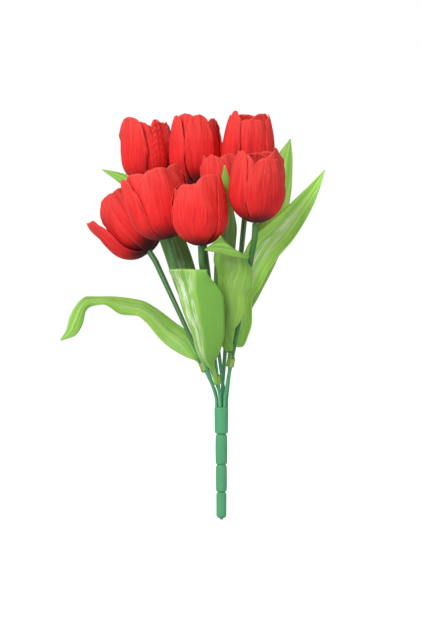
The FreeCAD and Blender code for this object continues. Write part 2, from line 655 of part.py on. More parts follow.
def make_head(doc, sheet, name, flower, route, masters):
    """Outer petals, inner petals half a step on, and the stamens that lock them."""
    size = flower["head"]
    pivot = Vector(cell(sheet, "petal_hinge_radius"), 0, cell(sheet, f"{size}_outer_foot"))
    placement = head_placement(route, flower["turn"])
    half_step = 180 / PETALS_PER_LAYER
    outer = make_layer(doc, f"{name}_outer_petals", masters[size, "outer"], pivot,
                       flower["outer_leans"], 0, placement)
    inner = make_layer(doc, f"{name}_inner_petals", masters[size, "inner"], pivot,
                       flower["inner_leans"], half_step, placement)
    link = doc.addObject("App::Link", f"{name}_stamens_link")
    link.LinkedObject = masters["stamens"]
    stamens = doc.addObject("Part::Compound", f"{name}_stamens")
    stamens.Links = [link]
    stamens.Placement = placement
    stamens.Label = f"{name}_stamens"
    return [outer, inner, stamens]


# Leaves

def collar_place(sheet, leaf, route):
    """The collar's middle on the stem's straight run, the run's way and the stem's radius there."""
    height = leaf["rise_share"] * (route["neck_foot"].z + route["neck"] * math.cos(route["lean"]))
    along = (height - route["run_start"].z) / route["along"].z
    taper = cell(sheet, "stem_head_radius") - cell(sheet, "stem_foot_radius")
    radius = cell(sheet, "stem_foot_radius") + taper * along / route["run"]
    local = Placement(route["run_start"] + route["along"] * along,
                      Rotation(SIDE, math.degrees(route["angle"])))
    return route["placement"] * local, radius


def blade_stations(sheet, leaf, place):
    """Stations of the free blade: middle, facing way, left and right half width."""
    length, width = cell(sheet, "leaf_length"), cell(sheet, "leaf_width")
    stations = []
    for across, deep, rise, left, right, turn, tilt in leaf["station_shares"]:
        facing = Vector(math.sin(math.radians(turn)) * math.cos(math.radians(tilt)),
                        -math.cos(math.radians(turn)) * math.cos(math.radians(tilt)),
                        math.sin(math.radians(tilt)))
        middle = place.Base + Vector(across, deep, rise) * length
        stations.append((middle, facing, left * width, right * width))
    return stations


def foot_frames(sheet, place, stations, radius):
    """The blade's foot lies flat on the tongue, from the ring's lower edge to the tongue's end."""
    axis = place.Rotation.multVec(UP)
    outwards = stations[0][0] - place.Base
    outwards = outwards - axis * outwards.dot(axis)
    outwards.normalize()
    shell = radius + cell(sheet, "collar_gap") + cell(sheet, "collar_wall")
    stand_off = outwards * (shell + cell(sheet, "leaf_gap") + cell(sheet, "leaf_wall") / 2)
    half_height = cell(sheet, "collar_height") / 2
    half_width = cell(sheet, "tongue_half_width")
    return [(place.Base + axis * height + stand_off, axis.cross(outwards), outwards, half_width, half_width)
            for height in (-half_height, half_height + cell(sheet, "tongue_reach"))]


def frames(start, stations):
    """For each station its middle, sideways and facing unit vectors, square to the way of the blade."""
    made = []
    middles = [start] + [station[0] for station in stations]
    for number, (middle, facing, left, right) in enumerate(stations):
        ahead = middles[min(number + 2, len(stations))] - middles[number]
        ahead.normalize()
        normal = facing - ahead * facing.dot(ahead)
        normal.normalize()
        made.append((middle, ahead.cross(normal), normal, left, right))
    return made


def station_keels(leaf):
    """The keel at each station: none on a crease, and turned about beyond it, where the blade faces back."""
    count = len(leaf["station_shares"])
    start, end = leaf.get("crease", (count, count))
    return [leaf["keel"]] * start + [0] * (end - start) + [-leaf["keel"]] * (count - end)


def keeled_section(frame, keel, front, back):
    """A thin V across the blade, between two distances along the facing way from its middle plane."""
    middle, sideways, normal, left, right = frame
    slope = math.radians(keel)
    left_edge = middle - (sideways * math.cos(slope) + normal * math.sin(slope)) * left
    right_edge = middle + (sideways * math.cos(slope) - normal * math.sin(slope)) * right
    line = [left_edge, middle, right_edge]
    points = [point + normal * front for point in line] + [point + normal * back for point in reversed(line)]
    return Part.makePolygon(points + [points[0]])


def make_leaf(doc, sheet, name, leaf, route):
    """The blade lofted through its stations, and the collar: a ring with a tongue behind the blade."""
    title = name.title().replace("_", "")
    place, radius = collar_place(sheet, leaf, route)
    stations = blade_stations(sheet, leaf, place)
    foot = foot_frames(sheet, place, stations, radius)
    half_wall = cell(sheet, "leaf_wall") / 2
    blade = doc.addObject("Part::Feature", f"{title}LeafBlade")
    keels = [0] * len(foot) + station_keels(leaf)
    sections = [keeled_section(frame, keel, half_wall, -half_wall)
                for frame, keel in zip(foot + frames(foot[1][0], stations), keels)]
    blade.Shape = Part.makeLoft(sections, True, True)
    blade.Label = f"{name}_leaf_blade"
    inside = radius + cell(sheet, "collar_gap")
    wall = cell(sheet, "collar_wall")
    ring = doc.addObject("Part::Cylinder", f"{title}Ring")
    ring.Radius = inside + wall
    ring.setExpression("Height", bound("collar_height"))
    bore = doc.addObject("Part::Cylinder", f"{title}RingBore")
    bore.Radius = inside
    bore.setExpression("Height", bound("collar_height"))
    for piece in (ring, bore):
        piece.Placement = place * Placement(Vector(0, 0, -cell(sheet, "collar_height") / 2), Rotation())
    hoop = doc.addObject("Part::Cut", f"{title}Hoop")
    hoop.Base = ring
    hoop.Tool = bore
    tongue = doc.addObject("Part::Feature", f"{title}Tongue")
    front = -half_wall - cell(sheet, "leaf_gap")
    tongue.Shape = Part.makeLoft([keeled_section(frame, 0, front, front - wall) for frame in foot], True, True)
    collar = doc.addObject("Part::MultiFuse", f"{title}LeafCollar")
    collar.Shapes = [hoop, tongue]
    collar.Label = f"{name}_leaf_collar"
    return [blade, collar]


# Checks and files

def check(doc, nodes):
    """Every object is computed, and every node has a sound shape with volume."""
    for item in doc.Objects:
        if "Invalid" in item.State or "Error" in item.State:
            raise ValueError(f"{item.Label} failed: {item.State}")
    for node in nodes:
        shape = node.Shape
        if shape.isNull() or not shape.isValid() or not shape.Solids or shape.Volume <= 0:
            raise ValueError(f"{node.Label} has no sound shape")


def main():
    doc = FreeCAD.newDocument("TulipBush")
    sheet = make_sheet(doc)
    nodes = [make_handle(doc, sheet)]
    masters = {(size, layer): make_petal(doc, sheet, size, layer)
               for size in ("full", "small") for layer in ("outer", "inner")}
    masters["stamens"] = make_stamens(doc, sheet)
    routes = {name: stem_route(sheet, flower) for name, flower in FLOWERS.items()}
    for name, flower in FLOWERS.items():
        nodes += make_stem(doc, sheet, name, routes[name])
        nodes += make_head(doc, sheet, name, flower, routes[name], masters)
    for name, leaf in LEAVES.items():
        nodes += make_leaf(doc, sheet, name, leaf, routes[leaf["stem"]])
    doc.recompute()
    check(doc, nodes)
    os.makedirs("parts", exist_ok=True)
    for node in nodes:
        node.Shape.exportStep(os.path.join("parts", f"{node.Label}.step"))
        print(node.Label, len(node.Shape.Solids), round(node.Shape.Volume, 1))


if __name__ == "__main__":
    main()
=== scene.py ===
import json
import math

import bpy
import numpy as np
from bpy.props import FloatProperty, FloatVectorProperty, PointerProperty
from mathutils import Matrix, Vector


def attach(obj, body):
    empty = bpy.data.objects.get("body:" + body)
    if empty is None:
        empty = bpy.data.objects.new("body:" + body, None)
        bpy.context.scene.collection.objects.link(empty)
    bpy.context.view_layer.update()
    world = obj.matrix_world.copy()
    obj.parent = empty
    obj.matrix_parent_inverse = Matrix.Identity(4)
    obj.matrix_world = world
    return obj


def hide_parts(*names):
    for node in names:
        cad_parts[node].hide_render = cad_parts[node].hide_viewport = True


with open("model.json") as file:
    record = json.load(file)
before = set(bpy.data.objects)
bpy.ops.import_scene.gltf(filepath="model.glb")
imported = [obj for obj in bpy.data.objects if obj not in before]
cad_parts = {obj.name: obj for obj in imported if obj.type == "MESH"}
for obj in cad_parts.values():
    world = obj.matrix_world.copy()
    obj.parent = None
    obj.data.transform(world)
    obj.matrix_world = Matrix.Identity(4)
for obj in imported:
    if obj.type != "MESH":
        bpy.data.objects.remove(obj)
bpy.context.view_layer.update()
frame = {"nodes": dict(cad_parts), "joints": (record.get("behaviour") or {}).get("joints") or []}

bl_info = {
    "name": "Tulip Bush",
    "version": (1, 0, 0),
    "blender": (4, 5, 0),
    "location": "3D View > Sidebar > Tulips",
    "description": "Dresses a bush of fabric tulips: petals, stamens, leaves, stems, handle and stage",
    "category": "Object",
}

# The frame's joints by name, and a millimetre in metres
JOINTS = {joint["name"]: joint for joint in frame["joints"]}
MM = 0.001

# Flowers. turn: how far the petals are turned about the head's axis, in degrees. size: share of a full head,
# where it isn't one. Each petal: further turn and lean outwards in degrees, width share, height share,
# pointedness of its tip, curl of its left and right edge and of its rim outwards in mm, crosswise wrinkles in
# mm, and depth in mm and place across (-1 to 1) of a lengthwise fold. What it doesn't say is as in PLAIN.
# Petals go anticlockwise from the front, and inner ones start half a step on.
PLAIN = dict(turn=0, lean=0, width=1.0, height=1.0, left=0.0, right=0.0, rim=0.0, fold=0.0, at=0.0, tip=0.85,
             wrinkle=0.0)
FLOWERS = {
    "upper_left": dict(turn=25, outer=[
        dict(turn=2, width=0.42, height=0.95, wrinkle=1.7, left=-2.5, right=-4.5, tip=1),
        dict(height=0.99, rim=0.8),
        dict(turn=42, lean=5, height=1.03, left=1.2, right=1, rim=2.2, tip=0.7)], inner=[
        dict(turn=14, width=0.72, height=0.96, left=-2, right=1, rim=0.5),
        {},
        dict(turn=6, width=0.86, height=0.93, rim=0.4, tip=0.75)]),
    "upper_middle": dict(turn=14, outer=[
        dict(turn=-7, width=0.66, left=0.8, right=1.2, rim=0.6, tip=0.7),
        dict(turn=-16, left=1, rim=1),
        dict(turn=34, lean=3, width=0.92, height=1.04, left=1, right=0.8, rim=1, tip=0.7)], inner=[
        dict(height=0.98, left=1, right=1, rim=0.8),
        dict(height=1.04, rim=0.5),
        dict(width=0.98, height=1.06, right=-0.4, rim=0.8, tip=0.8)]),
    "upper_right": dict(turn=-50, outer=[
        dict(width=0.64, height=1.03, left=-0.5, right=0.8, rim=-0.6, tip=1.7),
        dict(turn=12, lean=1, width=0.78, left=-0.6, right=0.8, rim=0.6, tip=1.3),
        dict(height=1.07, rim=0.8, tip=0.7)], inner=[
        dict(turn=3, height=0.88, left=0.4, right=0.6, rim=-0.4, tip=0.45),
        dict(height=1.07, rim=0.8, tip=0.8),
        {}]),
    "middle_left": dict(turn=10, outer=[
        dict(lean=6, width=1.04, left=0.5, right=1.5, rim=1.5, tip=0.9),
        dict(lean=7, height=0.98, left=1, right=1.5, rim=1.5),
        dict(turn=30, lean=10, width=1.04, left=1.5, right=0.8, rim=1.5, tip=0.7)], inner=[
        dict(turn=-4, lean=5, width=1.02, height=1.02, left=0.6, right=1.5, rim=2, tip=0.8),
        dict(lean=3, height=1.04, rim=0.5, tip=1.4),
        dict(turn=4, lean=7, left=1, rim=1.5, tip=0.6)]),
    "front": dict(turn=-30, outer=[
        dict(turn=8, width=0.98, height=0.84, left=0.5, right=-0.8, rim=-0.8, tip=0.6),
        dict(turn=-9, width=0.82, height=0.97, left=2, right=0.5, fold=5, at=-0.42, tip=1.2),
        dict(turn=10, height=0.86, rim=0.4)], inner=[
        dict(turn=4, height=0.97, left=-0.6, right=1.2, rim=0.6, tip=1.1),
        dict(height=0.93, rim=0.8, tip=0.9),
        dict(height=0.8)]),
    "right": dict(turn=6, outer=[
        dict(turn=24, height=0.88, left=2.6, right=-0.5, rim=-0.4, tip=0.7),
        dict(turn=22, height=0.99, right=1.2, rim=1.4),
        dict(turn=50, width=0.8, height=0.97, fold=1.4, rim=0.4, tip=0.8)], inner=[
        dict(turn=-8, width=0.9, height=1.03, left=0.4, right=1.6, rim=0.6, tip=2.2),
        dict(height=0.96, rim=1),
        dict(height=0.93, rim=0.3, tip=0.75)]),
    "lower_left": dict(turn=30, outer=[
        dict(turn=-8, width=1.04, height=0.98, left=0.8, right=0.5, rim=0.8, tip=0.7),
        {},
        dict(lean=14, width=0.9, left=-1, right=-1, rim=3.5, tip=2.8)], inner=[
        dict(height=0.98),
        {},
        dict(height=0.99, left=0.8, right=1, rim=1)]),
    "back": dict(size=0.85, turn=-30, outer=[
        dict(height=0.97, left=0.8, right=-2.5, rim=0.6, fold=2.4, at=0.15, tip=1.7),
        dict(height=0.92),
        dict(rim=0.8, tip=1.2)], inner=[
        dict(height=0.93),
        dict(height=0.97, rim=0.8),
        {}]),
}
# Flowers whose petals get a darker copy of the cloth as painted shade, and how bright it is beside the others
SHADED_FLOWERS = ("right", "lower_left")
SHADED_BRIGHTNESS = 0.88

# Leaves. stem_radius and wave are in mm. The halves fold back by the keel in degrees. stations: place from
# the collar in thousandths of the leaf's length, and left and right half widths in hundredths of its width.
# Then comes the way the blade faces, a turn from the front and a tilt upwards in degrees, where it isn't the
# leaf's own, and on a slanting crease the direction across the blade. A blade folded straight over lies flat
# from the first station of its crease up to the second, and nests beyond it.
STATION_UNITS = (1000, 1000, 1000, 100, 100, 1, 1)
LEAVES = {
    "left": dict(stem_radius=1.71, keel=-12, wave=1.2, faces=(180, 0), finish="plain_leaf", stations=[
        (-55, 40, 60, 12, 12, 180, -25), (-90, 75, 110, 22, 24, 180, -35), (-175, 115, 175, 24, 24, 180, -35),
        (-250, 125, 245, 19, 19, 180, -30), (-310, 125, 280, 17, 17, 180, -25),
        (-385, 115, 290, 18, 18, 180, -25), (-480, 100, 315, 10, 10, 180, -30),
        (-545, 80, 310, 11, 11, 180, -15), (-580, 60, 280, 11, 11), (-605, 45, 215, 14, 14),
        (-630, 35, 160, 10, 10), (-675, 30, 125, 1, 1)]),
    "front_left": dict(stem_radius=1.64, keel=25, crease=(6, 9), wave=0.5, faces=(-15, 0),
                       finish="streaked_leaf", stations=[
        (-35, -55, 70, 10, 10), (-50, -85, 100, 20, 22), (-60, -145, 210, 32, 38), (-75, -175, 285, 38, 44),
        (-85, -195, 355, 44, 46), (-95, -210, 420, 48, 38), (-95, -220, 495, 52, 19),
        (-93, -213, 500, 52, 19, 0, 90), (-91, -205, 495, 52, 19, 165, 0), (-91, -197, 430, 46, 18, 165, 0),
        (-80, -179, 350, 1, 1, 165, 0)]),
    "front_right": dict(stem_radius=1.77, keel=10, wave=0.5, faces=(-20, 0), finish="dull_leaf", stations=[
        (-15, -35, 60, 8, 10, -15, 0), (-35, -60, 125, 8, 14), (-35, -75, 170, 8, 24),
        (-30, -90, 240, 10, 38), (-30, -105, 310, 14, 40), (-20, -130, 380, 22, 46),
        (1, -160, 438, 37, 38, -10, 0), (6, -196, 515, 32, 32, 0, 0, (0.816, 0.0, -0.578)),
        (7, -203, 516, 32, 32, -90, -55, (0.816, 0.0, -0.578)),
        (6, -210, 515, 32, 32, 180, 0, (0.816, 0.0, -0.578)),
        (-30, -218, 524, 22, 19, 180, 0, (0.4, 0.0, -0.91)),
        (-64, -225, 527, 13, 13, 180, 0, (-0.07, 0.0, -0.998)),
        (-122, -235, 508, 1, 1, 180, 0, (-0.07, 0.0, -0.998))]),
    "right": dict(stem_radius=1.76, keel=-12, wave=1.0, faces=(10, 0), finish="glossy_lit_leaf", stations=[
        (25, -30, 50, 10, 11), (35, -35, 100, 16, 18), (50, -45, 165, 18, 19), (60, -60, 260, 18, 15),
        (80, -75, 335, 20, 24), (115, -90, 415, 30, 25, 10, 5), (165, -105, 490, 36, 25, 10, 10),
        (240, -120, 570, 32, 23, 10, 10), (310, -130, 665, 22, 19, 10, 10), (375, -125, 755, 14, 10, 10, 10),
        (430, -110, 855, 1, 1, 10, 10)]),
    "back_right": dict(stem_radius=1.9, keel=-12, wave=0.6, faces=(180, 0), finish="plain_leaf", stations=[
        (45, 10, 100, 10, 10), (105, 40, 240, 18, 18), (165, 65, 415, 26, 26), (200, 90, 590, 26, 26),
        (230, 110, 730, 22, 22), (250, 120, 840, 15, 15), (275, 130, 930, 1, 1)]),
    "back_left": dict(stem_radius=1.83, keel=-12, wave=0.6, faces=(180, 0), finish="shaded_leaf", stations=[
        (-10, 30, 100, 12, 12), (-40, 70, 225, 20, 20), (-90, 110, 375, 24, 24), (-140, 140, 525, 24, 24),
        (-205, 155, 660, 20, 20, 180, -10), (-290, 175, 775, 16, 16, 180, -20),
        (-390, 175, 850, 11, 11, 180, -20), (-485, 170, 890, 1, 1, 180, -20)]),
    "middle": dict(stem_radius=2.03, keel=-12, wave=0.5, faces=(180, 0), finish="shaded_leaf", stations=[
        (30, 15, 100, 10, 10, 190, 0), (45, 20, 250, 16, 16), (55, 25, 400, 18, 18), (65, 20, 525, 16, 16),
        (65, -20, 635, 12, 12), (60, -50, 725, 9, 9), (55, -60, 805, 1, 1)]),
}


# Settings that a user would change

def length_setting(name, description, default):
    return FloatProperty(name=name, description=description, default=default, unit="LENGTH")


def power_setting(name, description, default):
    return FloatProperty(name=name, description=description, default=default, unit="POWER")


def colour_setting(name, description, default):
    return FloatVectorProperty(name=name, description=description, default=default, subtype="COLOR", size=3,
                               min=0, max=1)


class PetalSettings(bpy.types.PropertyGroup):
    """Sizes and colours of the petals"""
    height: length_setting("Height", "Height of a full petal", 0.066)
    belly_radius: length_setting("Belly radius", "Widest radius of the cup", 0.0255)
    belly_height: length_setting("Belly height", "Height of the widest ring", 0.027)
    mouth_radius: length_setting("Mouth radius", "Radius at the petals' tips", 0.0165)
    half_width: length_setting("Half width", "Widest half width of a petal", 0.021)
    wall: length_setting("Cloth thickness", "Thickness of the petal cloth", 0.0004)
    red: colour_setting("Red", "Colour of the petals' middle", (0.88, 0.018, 0.019))
    # The pale red that each petal's upper half pales to is a painted highlight
    pale: colour_setting("Pale red", "Colour of the petals' rim", (0.93, 0.085, 0.070))
    dark: colour_setting("Dark foot", "Colour of the petals' foot", (0.030, 0.004, 0.012))


class LeafSettings(bpy.types.PropertyGroup):
    """Sizes and colours of the leaves"""
    length: length_setting("Length", "Length that the stations' places are parts of", 0.2)
    width: length_setting("Width", "Width that the stations' half widths are parts of", 0.05)
    wall: length_setting("Cloth thickness", "Thickness of the leaf cloth", 0.0004)
    light: colour_setting("Light green", "Colour between the veins", (0.43, 0.74, 0.11))
    deep: colour_setting("Deep green", "Colour of the veins and the foot", (0.19, 0.48, 0.055))


class PlasticSettings(bpy.types.PropertyGroup):
    """Colours of the plastic pieces"""
    handle: colour_setting("Handle", "Colour of the moulded handle", (0.075, 0.37, 0.16))
    stem: colour_setting("Stem", "Colour of the stems' sleeves", (0.052, 0.18, 0.035))
    collar: colour_setting("Collar", "Colour of the leaf collars", (0.27, 0.42, 0.09))
    anther: colour_setting("Anther", "Colour of the stamens' ends", (0.75, 0.36, 0.03))


class StageSettings(bpy.types.PropertyGroup):
    """Place and view of the camera, and the lamps"""
    distance: length_setting("Camera distance", "From the camera to the bush's axis", 1.4)
    centre_side: length_setting("View centre side", "Where the picture's middle lies along X", -0.01014)
    centre_height: length_setting("View centre height", "Where the picture's middle lies along Z", 0.1897)
    picture_height: length_setting("Picture height", "Height that the picture covers at the axis", 0.58683)
    key_power: power_setting("Key light", "Power of the main soft light", 30.0)
    fill_power: power_setting("Fill light", "Power of the second soft light", 4.0)


# Meshes

def smooth_step(value, low, high):
    """0 below low, 1 above high, and the cubic 3s^2 - 2s^3 between."""
    share = np.clip((value - low) / (high - low), 0, 1)
    return share * share * (3 - 2 * share)


def turned(first, second, degrees):
    """Two coordinates after a turn from the first towards the second."""
    along, across = math.cos(math.radians(degrees)), math.sin(math.radians(degrees))
    return first * along - second * across, first * across + second * along


def unit(vectors):
    """The vectors over their lengths."""
    return vectors / np.linalg.norm(vectors, axis=-1, keepdims=True)


def grid_mesh(name, sheets):
    """One mesh from sheets of points (rows, columns, 3) with their across and along shares as UV."""
    points, faces, uvs, first = [], [], [], 0
    for grid, across, along in sheets:
        rows, columns = grid.shape[:2]
        index = first + np.arange(rows * columns).reshape(rows, columns)
        quads = np.stack([index[:-1, :-1], index[:-1, 1:], index[1:, 1:], index[1:, :-1]], axis=-1)
        points.append(grid.reshape(-1, 3))
        faces.append(quads.reshape(-1, 4))
        uvs.append(np.stack([across.ravel(), along.ravel()], axis=1))
        first += rows * columns
    points, faces, uvs = np.concatenate(points), np.concatenate(faces), np.concatenate(uvs)
    mesh = bpy.data.meshes.new(name)
    mesh.from_pydata(points.tolist(), [], faces.tolist())
    layer = mesh.uv_layers.new(name="UVMap")
    layer.data.foreach_set("uv", uvs[faces.ravel()].astype(np.float32).ravel())
    mesh.polygons.foreach_set("use_smooth", np.ones(len(faces), bool))
    mesh.update()
    made = bpy.data.objects.new(name, mesh)
    bpy.context.scene.collection.objects.link(made)
    return made


def give_wall(piece, thickness):
    """Thickens a sheet evenly about its middle."""
    wall = piece.modifiers.new("Wall", "SOLIDIFY")
    wall.thickness = thickness
    wall.offset = 0
    wall.use_even_offset = False


def finish_piece(piece, body, material, nodes=()):
    """Gives a piece its material and body; it stands for the named CAD nodes."""
    piece.data.materials.append(material)
    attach(piece, body)
    if nodes:
        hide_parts(*nodes)


def monotone_curve(knots, values, at):
    """Piecewise cubic through values at knots that never overshoots (harmonic mean slopes)."""
    values = np.asarray(values, float).reshape(len(knots), -1)
    steps = np.diff(knots)[:, None]
    rise = np.diff(values, axis=0) / steps
    slopes = np.zeros_like(values)
    slopes[0], slopes[-1] = rise[0], rise[-1]
    before, after, near, far = rise[:-1], rise[1:], steps[:-1], steps[1:]
    with np.errstate(divide="ignore", invalid="ignore"):
        mean = 3 * (near + far) / ((2 * far + near) / before + (far + 2 * near) / after)
    slopes[1:-1] = np.where(before * after > 0, mean, 0)
    place = np.clip(np.searchsorted(knots, at, side="right") - 1, 0, len(knots) - 2)
    step = steps[place]
    s = (at - knots[place])[:, None] / step
    start, end = step * slopes[place], step * slopes[place + 1]
    return ((2 * s ** 3 - 3 * s ** 2 + 1) * values[place] + (s ** 3 - 2 * s ** 2 + s) * start
            + (3 * s ** 2 - 2 * s ** 3) * values[place + 1] + (s ** 3 - s ** 2) * end)


# Petals

PETAL_COLUMNS = 25
PETAL_ROWS = 37
PROFILE_POINTS = 60
HOLE_RADIUS = 0.0017
HUB_RADIUS = 0.0032
HINGE_RADIUS = 0.0019
SEAT_GAP = 0.0004
LAYER_STEP = 0.0010
SECTOR = math.radians(58)
FOOT_WIDTH_SHARE = 0.12
FOOT_POWER = 0.62
WIDEST_SHARE = 0.47
SHOULDER_SHARE = 0.85
SHOULDER_WIDTH_SHARE = 0.74
TALLEST_SHARE = 1.08
TIP_POWER = 2.4
# Waves of the frayed edges: how many radians from foot to tip or middle to edge, and how deep. The sides'
# depths and all widths are shares of the half width, and the other depths are in mm.
RIM_FRAY = ((6, 0.45), (15, 0.16), (29, 0.07))
SIDE_FRAY = ((17, 0.010), (37, 0.005))
CURL_START = 0.35
CURL_SPAN = 0.42
SLOW_FOLD = 0.30
MIDDLE_GROOVE = 0.45
EDGE_WAVE = 0.42
FOLD_WIDTH = 0.07
GROOVE_WIDTH = 0.06


def belly_arc(belly, end, rise):
    """Radii and rises along the arc that starts upright at the belly and ends at the end's radius."""
    arc = ((belly - end) ** 2 + rise ** 2) / (2 * (belly - end))
    angle = np.linspace(0, math.asin(rise / arc), PROFILE_POINTS)
    return belly - arc + arc * np.cos(angle), arc * np.sin(angle)


def cup_profile(settings, size, inset):
    """Radius and height along a petal's middle line, at even steps of its length.

    It runs flat from the hole to the hub, up the arc that ends upright at the belly, and along the flatter
    arc that starts upright there and ends at the mouth. Returns the lengths with the radii and heights.
    """
    foot, middle = SEAT_GAP + inset, settings.belly_height * size
    belly, mouth = settings.belly_radius * size - inset, settings.mouth_radius * size - inset
    span = (settings.height - settings.belly_height) * size * TALLEST_SHARE
    lower_radius, fall = belly_arc(belly, HUB_RADIUS, middle - foot)
    upper_radius, rise = belly_arc(belly, mouth, span)
    radius = np.concatenate([[HOLE_RADIUS], lower_radius[::-1], upper_radius[1:]])
    height = np.concatenate([[foot], middle - fall[::-1], middle + rise[1:]])
    length = np.concatenate([[0], np.cumsum(np.hypot(np.diff(radius), np.diff(height)))])
    return length, radius, height


def fray(waves, along, phases):
    """Sum of sines of the given counts and depths along an edge."""
    return sum(depth * np.sin(count * along + phase) for (count, depth), phase in zip(waves, phases))


def ridge(distance, width):
    """A bell that is 1 at distance 0 and falls off over the width."""
    return np.exp(-(distance / width) ** 2)


def petal_half_width(edge_height, widest, frayed):
    """A quarter sine from the foot to the widest place, then a slow cosine to the shoulders."""
    rising = np.sin(np.clip(edge_height / WIDEST_SHARE, 0, 1) * math.pi / 2) ** FOOT_POWER
    above = (edge_height - WIDEST_SHARE) / (SHOULDER_SHARE - WIDEST_SHARE)
    falling = np.cos(np.clip(above, 0, 1.2) * math.pi / 2)
    narrowing = SHOULDER_WIDTH_SHARE + (1 - SHOULDER_WIDTH_SHARE) * falling
    share = FOOT_WIDTH_SHARE + (1 - FOOT_WIDTH_SHARE) * rising
    return share * np.where(edge_height > WIDEST_SHARE, narrowing, 1) * widest * frayed


def petal_relief(u, v, size, style, phases):
    """How far the cloth stands out from its cup, in mm.

    Parabolas curl the left and right edge, a smooth step curls the rim, sines give slow folds, crosswise
    wrinkles and wavy edges, and bells press in the middle groove and a lengthwise fold.
    """
    free, upper, top = smooth_step(v, 0.25, 0.95), smooth_step(v, 0.72, 1.0), smooth_step(v, 0.75, 1.0)
    left, right = (np.clip(side * u - CURL_START, 0, None) ** 2 / CURL_SPAN for side in (-1, 1))
    curl = free * size * (left * style["left"] + right * style["right"]) + upper * size * style["rim"]
    slow = SLOW_FOLD * (np.sin(6 * u + phases[5] + 2 * v) + 0.3 * np.sin(17 * u + phases[0]))
    fold = style["fold"] * ridge(u - style["at"] - 0.1 * v, FOLD_WIDTH)
    groove = smooth_step(v, 0.1, 0.6) * MIDDLE_GROOVE * ridge(u, GROOVE_WIDTH)
    wrinkle = style["wrinkle"] * np.sin(70 * v + 2.5 * np.sin(3 * u + phases[1])) * (1 - u ** 4)
    edges = np.abs(u) ** 6 * np.sin(26 * v + phases[2] + u)
    edges = edges + 0.6 * np.abs(u) ** 4 * np.sin(47 * v + phases[4] * u)
    crest = top * np.sin(9 * u + phases[3])
    return curl + free * (slow - fold + wrinkle + EDGE_WAVE * size * (edges + crest)) - groove


def petal_sheet(settings, size, inset, style, number):
    """One petal as a grid, its middle on +X.

    Across is u from -1 to 1 and up is v from 0 to 1. A column's length falls from the tip towards the
    shoulders as a power of |u|. The sheet lies on the cup, its relief stands out along the cup's normal, and
    it leans about the hinge. Its across share for the UV map stays clear of 0 and 1 and has the petal's
    number added, so that the cloth can tell the petals apart.
    """
    u = np.linspace(-1, 1, PETAL_COLUMNS)[None, :]
    v = np.linspace(0, 1, PETAL_ROWS)[:, None]
    phases = np.random.default_rng(1000 + number).uniform(0, 2 * math.pi, 6)
    length, radius, height = cup_profile(settings, size, inset)
    top = settings.height * size * style["height"]
    tip_length, shoulder_length = np.interp([top, top * SHOULDER_SHARE], height, length)
    drop = np.abs(u) ** (TIP_POWER / style["tip"])
    column = tip_length + (shoulder_length - tip_length) * drop
    column = column + fray(RIM_FRAY, u, phases) * MM * size * (1 - drop)
    along = v * column
    around, up = np.interp(along, length, radius), np.interp(along, length, height)
    edge_height = np.interp(v * shoulder_length, length, height) / top
    widest = settings.half_width * size * style["width"] - inset
    half = petal_half_width(edge_height, widest, 1 + fray(SIDE_FRAY, v, phases[3:]))
    side = u * np.minimum(half, around * math.sin(SECTOR))
    out = np.sqrt(np.maximum(around ** 2 - side ** 2, 0))
    push = petal_relief(u, v, size, style, phases) * MM
    out, side = out + out / around * push, side + side / around * push
    out, up = turned(out - HINGE_RADIUS, up - SEAT_GAP, -style["lean"])
    grid = np.stack([out + HINGE_RADIUS, side, up + SEAT_GAP], axis=-1)
    return grid, number + 0.5 + 0.498 * u + 0 * v, v + 0 * u


def turned_about_up(points, degrees):
    """The points turned anticlockwise about the upright axis."""
    across, deep = turned(points[..., 0], points[..., 1], degrees)
    return np.stack([across, deep, points[..., 2]], axis=-1)


def head_place(flower):
    """The matrix that puts what stands at the origin onto the head's joint, along its axis."""
    joint = JOINTS[f"{flower}_head_turn"]
    axis = Vector(joint["axis"]).normalized()
    tilt = Vector((0, 0, 1)).rotation_difference(axis).to_matrix().to_4x4()
    return np.array(Matrix.Translation(Vector(joint["pos_m"])) @ tilt)


def moved(points, matrix):
    """The points turned and shifted by a 4 x 4 matrix."""
    return points @ matrix[:3, :3].T + matrix[:3, 3]


class TULIPS_OT_petals(bpy.types.Operator):
    """Builds the outer and inner petal layers of every flower"""
    bl_idname = "tulips.petals"
    bl_label = "Petals"

    def execute(self, context):
        settings = context.scene.tulip_petals
        bright = petal_cloth("petal_cloth", settings, 1.0)
        # A darker copy of the petal cloth, painted shade for the flowers that sit in shade
        deep = petal_cloth("shaded_petal_cloth", settings, SHADED_BRIGHTNESS)
        number = 0
        for flower, facts in FLOWERS.items():
            place, size = head_place(flower), facts.get("size", 1.0)
            for layer, inset, offset in (("outer", 0.0, 0), ("inner", LAYER_STEP, 60)):
                sheets = []
                for third, own in enumerate(facts[layer]):
                    number += 1
                    style = {**PLAIN, **own}
                    grid, across, along = petal_sheet(settings, size, inset, style, number)
                    grid = turned_about_up(grid, -90 + offset + 120 * third + facts["turn"] + style["turn"])
                    sheets.append((moved(grid, place), across, along))
                piece = grid_mesh(f"{flower}_{layer}_petal_cloth", sheets)
                give_wall(piece, settings.wall)
                lit_or_shaded_cloth = deep if flower in SHADED_FLOWERS else bright
                finish_piece(piece, f"{flower}_head", lit_or_shaded_cloth, [f"{flower}_{layer}_petals"])
        return {"FINISHED"}


# Stamens: radii over heights above the seat in mm; then the ring of the filaments' feet and their tilt

